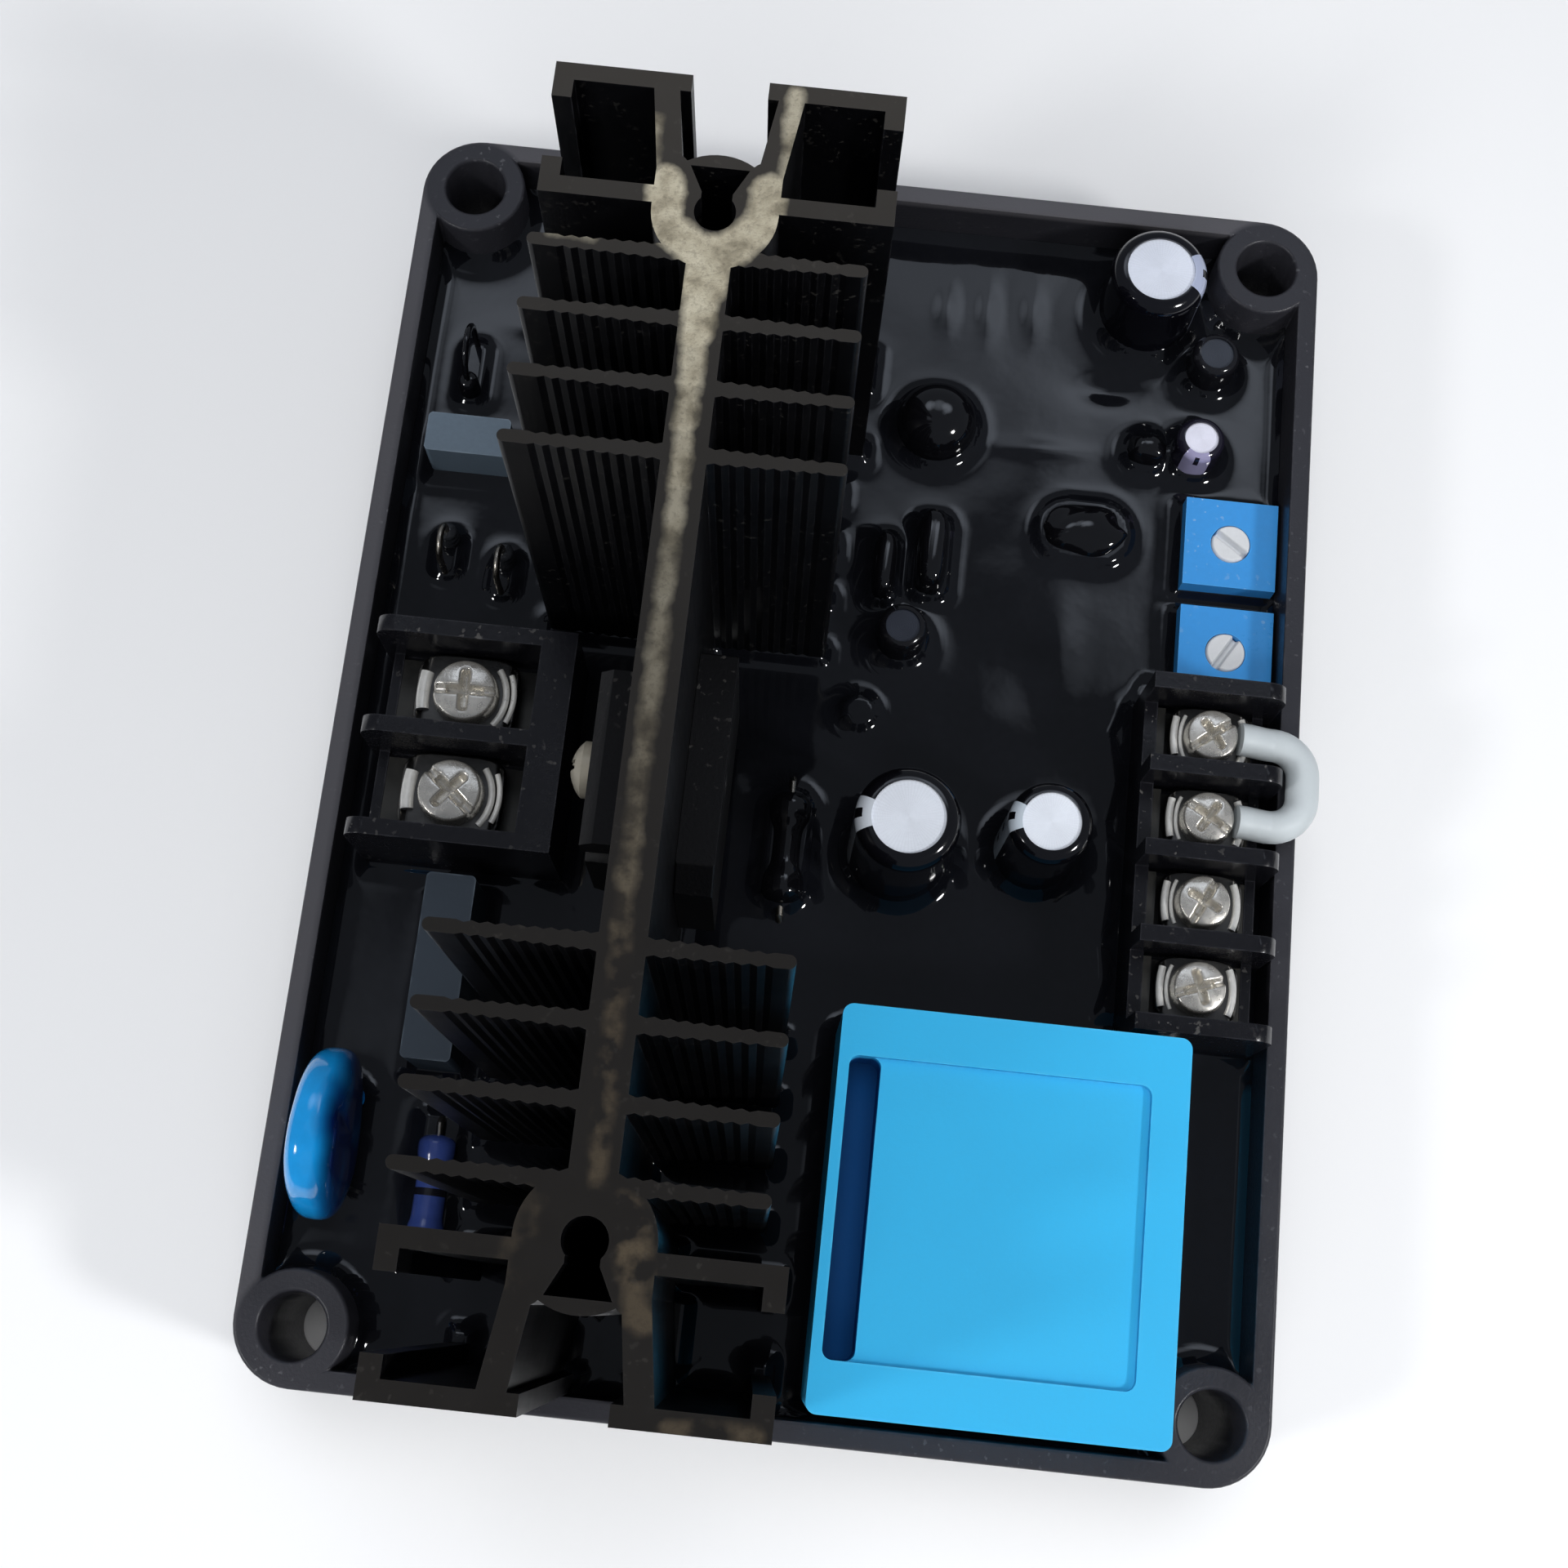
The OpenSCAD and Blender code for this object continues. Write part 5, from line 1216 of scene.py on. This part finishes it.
# Each rotor's dial: turn of its slot at rest in degrees, radius and height
dialLook = {"turns": [-35, 58], "radius": 1.99, "rise": 1.2}
for k, turn in enumerate(dialLook["turns"], 1):
    node = "trimmer_rotor_%d" % k
    x, y, _ = middleMm(node)
    underside = boxMm(node)[1][2] - dialLook["rise"]
    makeHead("trimmer_dial_%d" % k, (x, y, underside), dialLook["radius"], dialLook["rise"], turn, rotorHeight,
             rotorWhite, body="rotor_%d" % k, replaced=(node,), slotName="rotor_white")
print("screws and rotors made")

# Stage, camera and lights
stageLook = {"floor": (0.93, 0.93, 0.935, 1), "size": 3.0, "level": -0.0002, "sky": (0.78, 0.86, 1.0, 1),
             "skyLow": 0.16}
# Soft windows of light in the studio's upper half: direction, edge and middle as cosines, strength
windows = [
    ((-0.22, 0.5, 0.84), 0.984, 0.999, 1.5),
    ((0.24, 0.47, 0.85), 0.986, 0.999, 1.6),
    ((0.03, 0.52, 0.853), 0.985, 0.999, 0.9),
    ((0.17, 0.35, 0.92), 0.9975, 0.9998, 0.45),
    ((-0.25, 0.1, 0.96), 0.996, 0.9998, 0.2),
]
# Each light: place, aim and size in metres, power in watts, and whether gloss shows it
lights = {
    "keyLeft": {"place": (-0.30, -0.20, 0.36), "aim": (0, 0, 0.02), "size": 0.075, "power": 0.5,
                "glossy": True},
    "keyRight": {"place": (0.34, -0.16, 0.34), "aim": (0, 0, 0.02), "size": 0.07, "power": 0.95,
                 "glossy": True},
    "softFront": {"place": (0.0, -0.62, 0.60), "aim": (0, 0, 0.0), "size": 0.7, "power": 2.2,
                  "glossy": False},
    "softTop": {"place": (0.0, 0.10, 0.90), "aim": (0, 0, 0.0), "size": 0.5, "power": 2.75,
                "glossy": False},
}


def makeFloor():
    mesh = bpy.data.meshes.new("floor")
    half, z = stageLook["size"] / 2, stageLook["level"]
    corners = [(-half, -half, z), (half, -half, z), (half, half, z), (-half, half, z)]
    mesh.from_pydata(corners, [], [(0, 1, 2, 3)])
    floor = bpy.data.objects.new("floor", mesh)
    bpy.context.scene.collection.objects.link(floor)
    material = bpy.data.materials.new("floorPaper")
    material.use_nodes = True
    _, shader = parts(material)
    shader["Base Color"].default_value = stageLook["floor"]
    shader["Roughness"].default_value = 0.9
    mesh.materials.append(material)


def makeSky():
    world = bpy.data.worlds.new("studio")
    bpy.context.scene.world = world
    world.use_nodes = True
    tree = world.node_tree
    background = tree.nodes["Background"].inputs
    background["Color"].default_value = stageLook["sky"]
    toward = add(tree, "ShaderNodeVectorMath", {0: add(tree, "ShaderNodeTexCoord").outputs["Generated"]},
                 operation="NORMALIZE").outputs[0]
    total = stageLook["skyLow"]
    for direction, edge, middle, strength in windows:
        near = vectorCalc(tree, "DOT_PRODUCT", toward, Vector(direction).normalized(), "Value")
        total = calc(tree, "MULTIPLY_ADD", mapped(tree, near, edge, middle), strength, total)
    feed(tree, background["Strength"], total)


def makeLights():
    for name, look in lights.items():
        data = bpy.data.lights.new(name, "AREA")
        data.shape = "DISK"
        data.size = look["size"]
        data.energy = look["power"]
        lamp = bpy.data.objects.new(name, data)
        lamp.visible_glossy = look["glossy"]
        lamp.location = look["place"]
        aim = Vector(look["aim"]) - Vector(look["place"])
        lamp.rotation_euler = aim.to_track_quat("-Z", "Y").to_euler()
        bpy.context.scene.collection.objects.link(lamp)


# The photograph's view: place in millimetres and the directions of its right, up and back
view = {
    "place": (-1.156, -52.815, 209.468),
    "right": (0.99444, 0.103623, 0.018751),
    "up": (-0.104979, 0.961497, 0.253974),
    "back": (0.008289, -0.25453, 0.967029),
    "lens": 45.98,
}


def makeCamera():
    data = bpy.data.cameras.new("camera")
    data.sensor_fit = "HORIZONTAL"
    data.sensor_width = 36.0
    data.lens = view["lens"]
    data.clip_start = 0.005
    camera = bpy.data.objects.new("camera", data)
    turn = Matrix((view["right"], view["up"], view["back"])).transposed().to_4x4()
    camera.matrix_world = Matrix.Translation(Vector(view["place"]) * mm) @ turn
    bpy.context.scene.collection.objects.link(camera)
    bpy.context.scene.camera = camera


makeFloor()
makeSky()
makeLights()
makeCamera()
bpy.context.scene.view_settings.view_transform = "Standard"
print("stage set")
